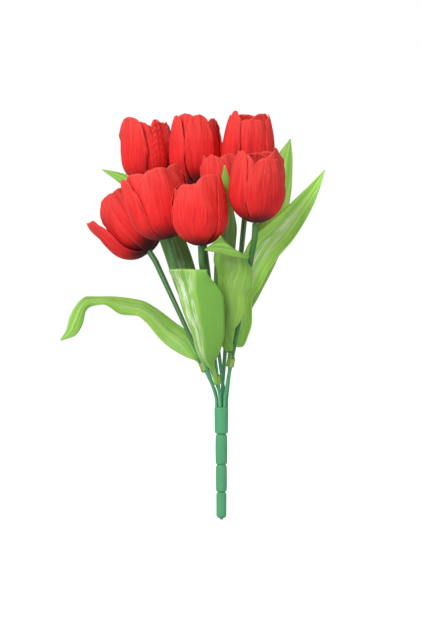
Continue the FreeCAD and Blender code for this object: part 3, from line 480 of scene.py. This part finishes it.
PISTIL_RADII = (0, 3.2, 3.4, 3.4, 1.5, 1.3, 1.25, 1.3, 1.5, 2.3, 2.4, 1.9, 0.0)
PISTIL_HEIGHTS = (0, 0, 0.2, 0.7, 0.9, 1.6, 15, 27, 30, 31.2, 32.4, 33.6, 34.0)
PIN_RADII = (0, 1.0, 1.2, 1.2, 0)
PIN_HEIGHTS = (-9, -9, -8.8, 0, 0)
FILAMENT_RADII = (0.45, 0.42, 0.38, 0.34)
FILAMENT_HEIGHTS = (0, 14, 28, 41)
ANTHER_RADIUS = 1.05
ANTHER_MIDDLE = 40
ANTHER_HALF_LENGTH = 4.6
ANTHER_GROOVE_SHARE = 0.25
ANTHER_GROOVE_WIDTH = 0.3
STAMENS = 6
STAMEN_FOOT_RADIUS = 0.0024
STAMEN_TILT = 8.0
PISTIL_GREEN = (0.46, 0.50, 0.14)


def turned_profile(radii, heights, columns=14):
    """A profile of radii over heights in mm, turned about the upright axis."""
    turn = np.linspace(0, 2 * math.pi, columns + 1)[None, :]
    radii = np.array(radii)[:, None] * MM
    heights = np.array(heights)[:, None] * MM + SEAT_GAP + 2 * LAYER_STEP
    grid = np.stack([radii * np.cos(turn), radii * np.sin(turn), heights + 0 * turn], axis=-1)
    return grid, turn / (2 * math.pi) + 0 * heights, np.linspace(0, 1, len(radii))[:, None] + 0 * turn


def leaned_out(grid, foot_radius, tilt, turn):
    """An upright turned shape tilted outwards from foot_radius and set round the axis at turn, in degrees."""
    out, up = turned(grid[..., 0], grid[..., 2], -tilt)
    return turned_about_up(np.stack([out + foot_radius, grid[..., 1], up], axis=-1), turn)


class TULIPS_OT_stamens(bpy.types.Operator):
    """Builds the pistil and six stamens of every flower"""
    bl_idname = "tulips.stamens"
    bl_label = "Stamens"

    def execute(self, context):
        settings = context.scene.tulip_plastic
        green = moulded_plastic("pistil_plastic", PISTIL_GREEN, 0.5)
        gold = moulded_plastic("anther_plastic", settings.anther, 0.6)
        pistil, pin = turned_profile(PISTIL_RADII, PISTIL_HEIGHTS), turned_profile(PIN_RADII, PIN_HEIGHTS)
        filament = turned_profile(FILAMENT_RADII, FILAMENT_HEIGHTS, 8)
        swell = np.linspace(0, math.pi, 11)
        anther = turned_profile(ANTHER_RADIUS * np.sin(swell) ** 0.7,
                                ANTHER_MIDDLE - ANTHER_HALF_LENGTH * np.cos(swell), 12)
        anther[0][..., 1] *= 1 - ANTHER_GROOVE_SHARE * ridge(anther[0][..., 0], ANTHER_GROOVE_WIDTH * MM)
        for flower in FLOWERS:
            place = head_place(flower)
            seeded = np.random.default_rng(len(flower) * 7)
            styles = [(moved(grid, place), across, along) for grid, across, along in (pistil, pin)]
            tips = []
            for spoke in range(STAMENS):
                tilt = STAMEN_TILT + seeded.uniform(-1.2, 1.2)
                turn = 360 / STAMENS * spoke + seeded.uniform(-7, 7)
                for (upright, across, along), sheets in ((filament, styles), (anther, tips)):
                    grid = leaned_out(upright, STAMEN_FOOT_RADIUS, tilt, turn)
                    sheets.append((moved(grid, place), across, along))
            finish_piece(grid_mesh(f"{flower}_pistil_and_filaments", styles), f"{flower}_head", green,
                         [f"{flower}_stamens"])
            finish_piece(grid_mesh(f"{flower}_anthers", tips), f"{flower}_head", gold)
        return {"FINISHED"}


# Leaves

LEAF_ROWS = 90
LEAF_COLUMNS = 21
FOOT_DEPTH = 1.85
FOOT_HALF_WIDTH = 0.0022
FOOT_HEIGHTS = (-0.004, 0.008)
LEAF_SAG = 0.16
# Lengths of the long and short wave of the left and of the right edge, over 2 pi
EDGE_WAVE_LENGTHS = ((0.0085, 0.0047), (0.0091, 0.0052))
# How glossy the streaks are, with their painted highlights, how bright, which paints the light on the glossy
# lit leaf, where across the streaks lie, and how deep the painted shade on one half and on the lower leaf is
LEAF_FINISHES = {
    "plain_leaf": dict(gloss_and_highlight=0.25, brightness=0.9),
    "shaded_leaf": dict(gloss_and_highlight=0.25, brightness=0.95, lower_shade=0.8),
    "dull_leaf": dict(gloss_and_highlight=0.12, brightness=0.72),
    "streaked_leaf": dict(gloss_and_highlight=0.85, brightness=0.88, gloss_and_highlight_place=0.22, shaded_half=0.95),
    "glossy_lit_leaf": dict(gloss_and_highlight=0.9, brightness=1.25, gloss_and_highlight_place=0.45),
}


def leaf_sections(settings, leaf, facts):
    """Left edge, middle and right edge of the foot's two stations and of the free blade's stations."""
    joint = JOINTS[f"{leaf}_leaf_turn"]
    collar, axis = np.array(joint["pos_m"]), np.array(joint["axis"])
    rows = [row if len(row) > 5 else (*row, *facts["faces"]) for row in facts["stations"]]
    table = np.array([row[:7] for row in rows], float) / STATION_UNITS
    free = collar + table[:, :3] * settings.length
    outwards = free[0] - collar
    outwards = unit(outwards - axis * (outwards @ axis))
    stand_off = outwards * (facts["stem_radius"] + FOOT_DEPTH) * MM
    foot = np.array([collar + axis * height + stand_off for height in FOOT_HEIGHTS])
    middles = np.concatenate([foot, free])
    turn, tilt = np.radians(table[:, 5]), np.radians(table[:, 6])
    facing = np.stack([np.sin(turn) * np.cos(tilt), -np.cos(turn) * np.cos(tilt), np.sin(tilt)], axis=1)
    ahead = unit(np.concatenate([middles[3:], middles[-1:]]) - middles[1:-1])
    normal = unit(facing - ahead * (facing * ahead).sum(1, keepdims=True))
    sideways = np.cross(ahead, normal)
    for number, row in enumerate(rows):
        if len(row) > 7:
            sideways[number], normal[number] = row[7], facing[number]
    start, end = facts.get("crease", (len(rows), len(rows)))
    number = np.arange(len(rows))[:, None]
    keel = math.radians(facts["keel"]) * np.where(number < start, 1.0, np.where(number < end, 0.0, -1.0))
    across = np.cross(axis, outwards)
    left = free - (sideways * np.cos(keel) + normal * np.sin(keel)) * table[:, 3:4] * settings.width
    right = free + (sideways * np.cos(keel) - normal * np.sin(keel)) * table[:, 4:5] * settings.width
    left = np.concatenate([foot - across * FOOT_HALF_WIDTH, left])
    right = np.concatenate([foot + across * FOOT_HALF_WIDTH, right])
    return left, middles, right


def leaf_sheet(settings, leaf, facts, number):
    """The blade as a grid.

    Its two edges and its middle line are monotone cubics through the stations, over their distance along the
    blade. Across, t runs from -1 to 1, straight from the middle to an edge, then raised between the two as a
    parabola, and waved at the edges by sines of the distance.
    """
    left, middles, right = leaf_sections(settings, leaf, facts)
    knots = np.concatenate([[0], np.cumsum(np.linalg.norm(np.diff(middles, axis=0), axis=1))])
    evenly = np.linspace(0, knots[-1], LEAF_ROWS)
    at = np.unique(np.concatenate([evenly, knots, (knots[:-1] + knots[1:]) / 2]))
    left, centre, right = (monotone_curve(knots, line, at) for line in (left, middles, right))
    normal = unit(np.cross(right - left, np.gradient(centre, at, axis=0)))
    t = np.linspace(-1, 1, LEAF_COLUMNS)[None, :, None]
    half = np.where(t < 0, (centre - left)[:, None, :], (right - centre)[:, None, :])
    bend = np.linalg.norm(half, axis=2)
    across = t[..., 0]
    phase = np.random.default_rng(50 + number).uniform(0, 2 * math.pi, 4)
    distance = at[:, None]
    share = distance / knots[-1]
    free = smooth_step(share, 0.12, 0.3) * (1 - 0.5 * smooth_step(share, 0.8, 1.0))
    left_wave, right_wave = (
        np.sin(distance / long + phase[side]) + 0.5 * np.sin(distance / short + phase[side + 1])
        for side, (long, short) in zip((0, 2), EDGE_WAVE_LENGTHS))
    wave = np.where(across < 0, left_wave, right_wave)
    raised = LEAF_SAG * bend * (np.abs(across) - across ** 2) * np.sign(facts["keel"])
    raised = raised + facts["wave"] * MM * 0.5 * wave * np.abs(across) ** 2.5 * free
    grid = centre[:, None, :] + half * t + normal[:, None, :] * raised[..., None]
    spread = np.linalg.norm(right - left, axis=1)
    return grid, (across + 1) / 2 + 0 * distance, share + 0 * across, at, spread


class TULIPS_OT_leaves(bpy.types.Operator):
    """Builds the blade of every leaf"""
    bl_idname = "tulips.leaves"
    bl_label = "Leaves"

    def execute(self, context):
        settings = context.scene.tulip_leaves
        cloths = {name: leaf_cloth(name, settings, **finish) for name, finish in LEAF_FINISHES.items()}
        for number, (leaf, facts) in enumerate(LEAVES.items()):
            grid, across, along, distance, spread = leaf_sheet(settings, leaf, facts, number)
            piece = grid_mesh(f"{leaf}_leaf_cloth", [(grid, across, along)])
            give_wall(piece, settings.wall)
            finish_piece(piece, f"{leaf}_leaf", cloths[facts["finish"]],
                         [f"{leaf}_leaf_blade"])
        return {"FINISHED"}


# Materials

class Nodes:
    """Adds and joins the nodes of one tree in a few words."""

    def __init__(self, tree):
        self.tree = tree
        tree.nodes.clear()

    def add(self, kind, **values):
        node = self.tree.nodes.new(kind)
        for name, value in values.items():
            if isinstance(value, (str, bool, int)) and hasattr(node, name):
                setattr(node, name, value)
            else:
                self.feed(node.inputs[name], value)
        return node

    def fill(self, node, **values):
        """Feeds inputs whose names are given with _ for each space."""
        for name, value in values.items():
            self.feed(node.inputs[name.replace("_", " ")], value)
        return node

    def group(self, tree, **values):
        node = self.tree.nodes.new("ShaderNodeGroup")
        node.node_tree = tree
        return self.fill(node, **values)

    def feed(self, socket, value):
        if isinstance(value, bpy.types.NodeSocket):
            self.tree.links.new(value, socket)
        elif hasattr(socket.default_value, "__len__") and len(socket.default_value) == 4 and len(value) == 3:
            socket.default_value = (*value, 1)
        else:
            socket.default_value = value

    def joined(self, kind, operation, values):
        node = self.tree.nodes.new(kind)
        node.operation = operation
        for socket, value in zip(node.inputs, values):
            self.feed(socket, value)
        return node.outputs[0]

    def maths(self, operation, *values):
        return self.joined("ShaderNodeMath", operation, values)

    def plus(self, first, second):
        return self.maths("ADD", first, second)

    def times(self, first, second):
        return self.maths("MULTIPLY", first, second)

    def apart(self, first, second):
        """The distance between two values."""
        return self.maths("ABSOLUTE", self.maths("SUBTRACT", first, second))

    def stretched(self, vector, scale):
        return self.joined("ShaderNodeVectorMath", "MULTIPLY", (vector, scale))

    def mixed(self, factor, first, second):
        node = self.tree.nodes.new("ShaderNodeMix")
        node.data_type = "RGBA"
        return self.fill(node, Factor=factor, A=first, B=second).outputs["Result"]

    def stepped(self, value, low, high):
        """0 at low, 1 at high and a smooth step between; it falls where low is the greater."""
        node = self.tree.nodes.new("ShaderNodeMapRange")
        node.interpolation_type = "SMOOTHSTEP"
        return self.fill(node, Value=value, From_Min=low, From_Max=high).outputs["Result"]

    def noise(self, vector, scale, detail=2.0, roughness=0.5):
        """Noise of one scale, or stretched by three."""
        if isinstance(scale, tuple):
            vector, scale = self.stretched(vector, scale), 1.0
        node = self.add("ShaderNodeTexNoise", Vector=vector, Scale=scale, Detail=detail, Roughness=roughness)
        return node.outputs["Fac"]


def shade(colour, share):
    """A colour with each channel times the share."""
    return tuple(share * channel for channel in colour)


def new_group(name, inputs, outputs):
    """A shader node group with named sockets; returns the tree, its nodes helper and its two ends."""
    tree = bpy.data.node_groups.new(name, "ShaderNodeTree")
    for label, kind, default in inputs:
        socket = tree.interface.new_socket(label, in_out="INPUT", socket_type=f"NodeSocket{kind}")
        if default is not None:
            socket.default_value = default
    for label, kind in outputs:
        tree.interface.new_socket(label, in_out="OUTPUT", socket_type=f"NodeSocket{kind}")
    nodes = Nodes(tree)
    return tree, nodes, nodes.add("NodeGroupInput"), nodes.add("NodeGroupOutput")


def made_once(build):
    """Gives the node group of the builder's name, which it builds only where the file has none yet."""
    name = build.__name__.replace("_", " ").capitalize()
    return lambda: bpy.data.node_groups.get(name) or build(name)


@made_once
def woven_threads(name):
    """Crossing threads as a height, for petals and leaves."""
    inputs = [("Vector", "Vector", None), ("Threads", "Float", 900.0)]
    tree, nodes, start, end = new_group(name, inputs, [("Height", "Float")])
    waves = [nodes.add("ShaderNodeTexWave", bands_direction=direction, Vector=start.outputs["Vector"],
                       Scale=start.outputs["Threads"]).outputs["Fac"] for direction in ("X", "Z")]
    nodes.feed(end.inputs["Height"], nodes.maths("MAXIMUM", *waves))
    return tree


@made_once
def moulded_grain(name):
    """Fine mould texture and slow blotches for the plastics."""
    inputs = [("Vector", "Vector", None), ("Scale", "Float", 900.0)]
    tree, nodes, start, end = new_group(name, inputs, [("Height", "Float"), ("Blotch", "Float")])
    place = start.outputs["Vector"]
    nodes.feed(end.inputs["Height"], nodes.noise(place, start.outputs["Scale"], 3.0, 0.6))
    nodes.feed(end.inputs["Blotch"], nodes.noise(place, 90.0))
    return tree


def new_material(name, roughness):
    """A material with its nodes helper, its Principled shader and its Object coordinates."""
    material = bpy.data.materials.new(name)
    material.use_nodes = True
    nodes = Nodes(material.node_tree)
    shader = nodes.add("ShaderNodeBsdfPrincipled", Roughness=roughness)
    nodes.add("ShaderNodeOutputMaterial", Surface=shader.outputs["BSDF"])
    return material, nodes, shader, nodes.add("ShaderNodeTexCoord").outputs["Object"]


def finish_shader(nodes, shader, colour, height, strength, distance, **values):
    """Feeds the colour, a bump of the height, and what else the shader is given."""
    bump = nodes.add("ShaderNodeBump", Strength=strength, Distance=distance, Height=height)
    nodes.fill(shader, Base_Color=colour, Normal=bump.outputs["Normal"], **values)


# Petal cloth: the shares of the petal's length over which its foot goes from dark to deep red and on to red,
# and over which it pales towards the rim as a painted highlight, and the share of the red that is left in the
# deep red and in the streaks
DARK_TO_DEEP = (0.08, 0.26)
DEEP_TO_RED = (0.18, 0.38)
RED_TO_HIGHLIGHT = (0.55, 1.0)
DEEP_SHARE = 0.36
STREAK_SHARE = 0.26
FINE_STREAKS = (56.0, 2.6, 1.0)
BROAD_STREAKS = (13.0, 1.5, 1.0)
FINE_SHARE, BROAD_SHARE, GLINT_SHARE, EDGE_HIGHLIGHT_SHARE = 0.58, 0.24, 0.34, 0.16
GLINT_RED = (0.95, 0.10, 0.08)
# Pink of the painted highlight along the petals' edges
EDGE_HIGHLIGHT_PINK = (0.92, 0.20, 0.16)


def petal_cloth(name, settings, brightness):
    """Dyed petal cloth: dark foot, red middle, lengthwise streaks and a fine weave, and painted highlights:
    an upper half that pales towards the rim, paler edges and glints.

    The whole part of the across coordinate is the petal's number, so that no two petals are streaked alike.
    """
    material, nodes, shader, solid = new_material(name, 0.72)
    red = shade(settings.red, brightness)
    place = nodes.add("ShaderNodeUVMap", uv_map="UVMap").outputs["UV"]
    parts = nodes.add("ShaderNodeSeparateXYZ", Vector=place)
    across, along = nodes.maths("FRACT", parts.outputs["X"]), parts.outputs["Y"]
    uneven = nodes.plus(along, nodes.maths("MULTIPLY_ADD", nodes.noise(solid, 55.0, 3.0, 0.55), 0.16, -0.08))
    colour = nodes.mixed(nodes.stepped(uneven, *DARK_TO_DEEP), settings.dark, shade(red, DEEP_SHARE))
    colour = nodes.mixed(nodes.stepped(uneven, *DEEP_TO_RED), colour, red)
    # Painted highlight: the upper half of the petal pales towards the rim
    colour = nodes.mixed(nodes.times(nodes.stepped(uneven, *RED_TO_HIGHLIGHT), 0.5), colour, settings.pale)
    wander = nodes.joined("ShaderNodeVectorMath", "ADD", (place, nodes.stretched(solid, (1.5, 1.5, 0.6))))
    fine = nodes.noise(wander, FINE_STREAKS, 4.0, 0.7)
    broad = nodes.noise(wander, BROAD_STREAKS)
    patch = nodes.stepped(nodes.noise(solid, 42.0), 0.3, 0.62)
    streak = nodes.plus(nodes.times(nodes.times(nodes.stepped(fine, 0.48, 0.68), patch), FINE_SHARE),
                        nodes.times(nodes.stepped(broad, 0.42, 0.72), BROAD_SHARE))
    colour = nodes.mixed(streak, colour, shade(red, STREAK_SHARE))
    glint = nodes.times(nodes.stepped(fine, 0.52, 0.36), nodes.stepped(along, 0.25, 0.6))
    colour = nodes.mixed(nodes.times(glint, GLINT_SHARE), colour, GLINT_RED)
    # Painted highlight: a thin paler line along each petal's edges and rim
    rim = nodes.maths("MAXIMUM", nodes.stepped(nodes.apart(across, 0.5), 0.470, 0.497),
                      nodes.stepped(along, 0.965, 0.995))
    colour = nodes.mixed(nodes.times(rim, EDGE_HIGHLIGHT_SHARE), colour, EDGE_HIGHLIGHT_PINK)
    weave = nodes.group(woven_threads(), Vector=solid)
    height = nodes.plus(nodes.times(fine, 0.8), nodes.times(weave.outputs["Height"], 0.12))
    finish_shader(nodes, shader, colour, height, 0.5, 0.0008, Specular_IOR_Level=0.22, Sheen_Weight=0.04,
                  Sheen_Roughness=0.4, Sheen_Tint=(1.0, 0.4, 0.35))
    return material


LEAF_INPUTS = (("Vector", "Vector", None), ("Light", "Color", None), ("Deep", "Color", None),
               ("Gloss", "Float", 0.3), ("Gloss Place", "Float", 0.5), ("Dull Half", "Float", 0.0),
               ("Dark Foot", "Float", 0.0))
LEAF_OUTPUTS = (("Color", "Color"), ("Roughness", "Float"), ("Height", "Float"))
VEINS = 13
SHADE_GREEN = (0.030, 0.135, 0.030)
HIGHLIGHT_WHITE = (0.90, 0.96, 0.80)


@made_once
def printed_leaf(name):
    """Printed leaf cloth from its across and along shares: veins, midrib, foot shade, painted shade on one
    half and on the lower leaf, and glossy streaks with a painted highlight.
    """
    tree, nodes, start, end = new_group(name, LEAF_INPUTS, LEAF_OUTPUTS)
    place, light, deep, gloss_and_highlight_share, gloss_and_highlight_place, shaded_half, lower_shade = (
        start.outputs[name] for name, _, _ in LEAF_INPUTS)
    parts = nodes.add("ShaderNodeSeparateXYZ", Vector=place)
    across, along = parts.outputs["X"], parts.outputs["Y"]
    vein = nodes.stepped(nodes.maths("SINE", nodes.times(across, 2 * math.pi * VEINS)), 0.55, 1.0)
    slow = nodes.noise(place, (5.0, 1.6, 1.0), 3.0, 0.55)
    fibre = nodes.noise(place, (70.0, 3.0, 1.0))
    rib = nodes.stepped(nodes.apart(across, 0.5), 0.02, 0.004)
    colour = nodes.mixed(nodes.stepped(slow, 0.3, 0.7), deep, light)
    foot = nodes.stepped(along, 0.3, 0.05)
    # Mixing the right half towards deep green paints the shade on one side of the folded blade
    for mask, share in ((vein, 0.28), (nodes.stepped(fibre, 0.45, 0.75), 0.22), (rib, 0.55),
                        (nodes.stepped(across, 0.495, 0.505), shaded_half), (foot, 0.4)):
        colour = nodes.mixed(nodes.times(mask, share), colour, deep)
    # Painted shade: the lower part of a leaf that stands behind the stems darkens towards a dark green
    low = nodes.stepped(along, 0.88, 0.45)
    colour = nodes.mixed(nodes.times(low, lower_shade), colour, SHADE_GREEN)
    # Glossy streaks lower the roughness, and the white mixed in over them is a painted highlight
    patch = nodes.stepped(nodes.noise(place, (9.0, 4.5, 1.0), 3.0, 0.6), 0.42, 0.56)
    thread = nodes.stepped(nodes.noise(place, (95.0, 7.0, 1.0), 1.0), 0.42, 0.56)
    near = nodes.stepped(nodes.apart(across, gloss_and_highlight_place), 0.30, 0.06)
    span = nodes.times(nodes.stepped(along, 0.12, 0.3), nodes.stepped(along, 0.9, 0.72))
    gloss_and_highlight = nodes.times(nodes.times(nodes.times(patch, thread), near), nodes.times(span, gloss_and_highlight_share))
    ridges = nodes.plus(nodes.times(vein, 0.5), nodes.times(rib, 0.9))
    nodes.fill(end, Color=nodes.mixed(gloss_and_highlight, colour, HIGHLIGHT_WHITE),
               Roughness=nodes.maths("MULTIPLY_ADD", gloss_and_highlight, -0.25, 0.52),
               Height=nodes.plus(ridges, nodes.times(fibre, 0.35)))
    return tree


def leaf_cloth(name, settings, gloss_and_highlight, brightness, gloss_and_highlight_place=0.5, shaded_half=0.0, lower_shade=0.0):
    """Printed and woven leaf cloth."""
    material, nodes, shader, solid = new_material(name, 0.5)
    place = nodes.add("ShaderNodeUVMap", uv_map="UVMap").outputs["UV"]
    printed = nodes.group(printed_leaf(), Vector=place, Light=shade(settings.light, brightness),
                          Deep=shade(settings.deep, brightness), Gloss=gloss_and_highlight, Gloss_Place=gloss_and_highlight_place,
                          Dull_Half=shaded_half, Dark_Foot=lower_shade)
    weave = nodes.group(woven_threads(), Vector=solid)
    height = nodes.plus(printed.outputs["Height"], nodes.times(weave.outputs["Height"], 0.10))
    finish_shader(nodes, shader, printed.outputs["Color"], height, 0.35, 0.0005,
                  Roughness=printed.outputs["Roughness"])
    return material


def moulded_plastic(name, colour, roughness, low_colour=None, low=0.11, high=0.17):
    """Plastic with fine grain and slow blotches; low_colour tints what lies below a height."""
    material, nodes, shader, solid = new_material(name, roughness)
    grain = nodes.group(moulded_grain(), Vector=solid)
    base = colour
    if low_colour is not None:
        height = nodes.add("ShaderNodeSeparateXYZ", Vector=solid).outputs["Z"]
        base = nodes.mixed(nodes.stepped(height, low, high), low_colour, colour)
    blotch = nodes.times(nodes.stepped(grain.outputs["Blotch"], 0.35, 0.75), 0.22)
    base = nodes.mixed(blotch, base, shade(colour, 0.55))
    worn = nodes.maths("MULTIPLY_ADD", grain.outputs["Blotch"], 0.14, roughness - 0.07)
    finish_shader(nodes, shader, base, grain.outputs["Height"], 0.15, 0.0003, Roughness=worn)
    return material


def drawn_wire():
    """Drawn steel wire, with fine lines along it."""
    material, nodes, shader, solid = new_material("drawn_wire", 0.35)
    lines = nodes.noise(solid, (1500.0, 1500.0, 60.0))
    worn = nodes.maths("MULTIPLY_ADD", lines, 0.2, 0.25)
    nodes.fill(shader, Base_Color=(0.45, 0.45, 0.46), Metallic=1.0, Roughness=worn)
    return material


def paint_node(name, material):
    """Gives a CAD node its finish."""
    node = frame["nodes"][name]
    node.data.materials.clear()
    node.data.materials.append(material)


class TULIPS_OT_stems(bpy.types.Operator):
    """Finishes the stems and the wires in them"""
    bl_idname = "tulips.stems"
    bl_label = "Stems"

    def execute(self, context):
        settings = context.scene.tulip_plastic
        sleeve = moulded_plastic("stem_sleeve", settings.stem, 0.42, settings.handle, 0.115, 0.185)
        wire = drawn_wire()
        for flower in FLOWERS:
            paint_node(f"{flower}_stem", sleeve)
            paint_node(f"{flower}_stem_wire", wire)
        return {"FINISHED"}


class TULIPS_OT_handle(bpy.types.Operator):
    """Finishes the handle and the leaf collars"""
    bl_idname = "tulips.handle"
    bl_label = "Handle and collars"

    def execute(self, context):
        settings = context.scene.tulip_plastic
        paint_node("handle", moulded_plastic("handle_plastic", settings.handle, 0.34))
        collar = moulded_plastic("collar_plastic", settings.collar, 0.5)
        for leaf in LEAVES:
            paint_node(f"{leaf}_leaf_collar", collar)
        return {"FINISHED"}


# Stage: the floor's half side, how far it lies below the handle, and how it glows to the camera; then the
# world's strength as light, and what it has on top where it is seen straight, in gloss or through glass

FLOOR_HALF = 6
FLOOR_DROP = 0.004
FLOOR_GLOW = 0.75
WORLD_LIGHT = 0.38
WORLD_SEEN = 0.62
LAMP_TARGET_HEIGHT = 0.24


def soft_light(name, place, target, size, power):
    """A square area lamp that faces the target."""
    data = bpy.data.lights.new(name, "AREA")
    data.energy = power
    data.size = size
    light = bpy.data.objects.new(name, data)
    light.location = place
    light.rotation_euler = (Vector(target) - Vector(place)).to_track_quat("-Z", "Y").to_euler()
    bpy.context.scene.collection.objects.link(light)


def plain_white(name, colour):
    """Matt floor that glows faintly to the camera, so it looks white and keeps its shadow."""
    material = bpy.data.materials.new(name)
    material.use_nodes = True
    nodes = Nodes(material.node_tree)
    matt = nodes.add("ShaderNodeBsdfPrincipled", Roughness=0.9)
    seen = nodes.add("ShaderNodeLightPath").outputs["Is Camera Ray"]
    nodes.fill(matt, Base_Color=colour, Specular_IOR_Level=0.0, Emission_Color=(1.0, 1.0, 1.0),
               Emission_Strength=nodes.times(seen, FLOOR_GLOW))
    nodes.add("ShaderNodeOutputMaterial", Surface=matt.outputs["BSDF"])
    return material


class TULIPS_OT_stage(bpy.types.Operator):
    """Sets the floor, the lights, the world and the camera"""
    bl_idname = "tulips.stage"
    bl_label = "Stage"

    def execute(self, context):
        settings = context.scene.tulip_stage
        scene = context.scene
        share = np.array([[0.0, 1.0], [0.0, 1.0]])
        side, deep = (2 * share - 1) * FLOOR_HALF, (2 * share.T - 1) * FLOOR_HALF
        grid = np.stack([side, deep, 0 * side - FLOOR_DROP], axis=-1)
        floor = grid_mesh("floor", [(grid, share, share.T)])
        floor.data.materials.append(plain_white("floor_white", (0.9, 0.9, 0.9)))
        middle = (settings.centre_side, 0.0, LAMP_TARGET_HEIGHT)
        soft_light("key", (-1.0, -1.3, 1.35), middle, 0.9, settings.key_power)
        soft_light("fill", (1.3, -1.2, 0.6), middle, 1.2, settings.fill_power)
        world = bpy.data.worlds.new("studio")
        world.use_nodes = True
        nodes = Nodes(world.node_tree)
        seen = nodes.add("ShaderNodeLightPath")
        direct = nodes.maths("MAXIMUM", seen.outputs["Is Camera Ray"],
                             nodes.maths("MAXIMUM", seen.outputs["Is Glossy Ray"],
                                         seen.outputs["Is Transmission Ray"]))
        strength = nodes.maths("MULTIPLY_ADD", direct, WORLD_SEEN, WORLD_LIGHT)
        sky = nodes.add("ShaderNodeBackground", Color=(1.0, 1.0, 1.0), Strength=strength)
        nodes.add("ShaderNodeOutputWorld", Surface=sky.outputs["Background"])
        scene.world = world
        lens = bpy.data.cameras.new("camera")
        lens.sensor_fit = "VERTICAL"
        lens.sensor_height = 24.0
        lens.lens = 24.0 * settings.distance / settings.picture_height
        camera = bpy.data.objects.new("camera", lens)
        camera.location = (settings.centre_side, -settings.distance, settings.centre_height)
        camera.rotation_euler = (math.pi / 2, 0, 0)
        scene.collection.objects.link(camera)
        scene.camera = camera
        scene.view_settings.view_transform = "Standard"
        return {"FINISHED"}


class TULIPS_PT_bush(bpy.types.Panel):
    """Lists the settings and the operators in the sidebar"""
    bl_label = "Tulip bush"
    bl_idname = "TULIPS_PT_bush"
    bl_space_type = "VIEW_3D"
    bl_region_type = "UI"
    bl_category = "Tulips"

    def draw(self, context):
        for group in ("tulip_petals", "tulip_leaves", "tulip_plastic", "tulip_stage"):
            settings = getattr(context.scene, group)
            box = self.layout.box()
            for name in settings.bl_rna.properties.keys():
                if name not in ("rna_type", "name"):
                    box.prop(settings, name)
        for operator in OPERATORS:
            self.layout.operator(operator.bl_idname)


OPERATORS = (TULIPS_OT_petals, TULIPS_OT_stamens, TULIPS_OT_leaves, TULIPS_OT_stems, TULIPS_OT_handle,
             TULIPS_OT_stage)
SETTINGS = {"tulip_petals": PetalSettings, "tulip_leaves": LeafSettings, "tulip_plastic": PlasticSettings,
            "tulip_stage": StageSettings}


def register():
    for group in SETTINGS.values():
        bpy.utils.register_class(group)
    for name, group in SETTINGS.items():
        setattr(bpy.types.Scene, name, PointerProperty(type=group))
    for made in (*OPERATORS, TULIPS_PT_bush):
        bpy.utils.register_class(made)


def unregister():
    for made in reversed((*OPERATORS, TULIPS_PT_bush)):
        bpy.utils.unregister_class(made)
    for name, group in SETTINGS.items():
        delattr(bpy.types.Scene, name)
        bpy.utils.unregister_class(group)


def main():
    register()
    bpy.ops.tulips.petals()
    bpy.ops.tulips.stamens()
    bpy.ops.tulips.leaves()
    bpy.ops.tulips.stems()
    bpy.ops.tulips.handle()
    bpy.ops.tulips.stage()


if __name__ == "__main__":
    main()
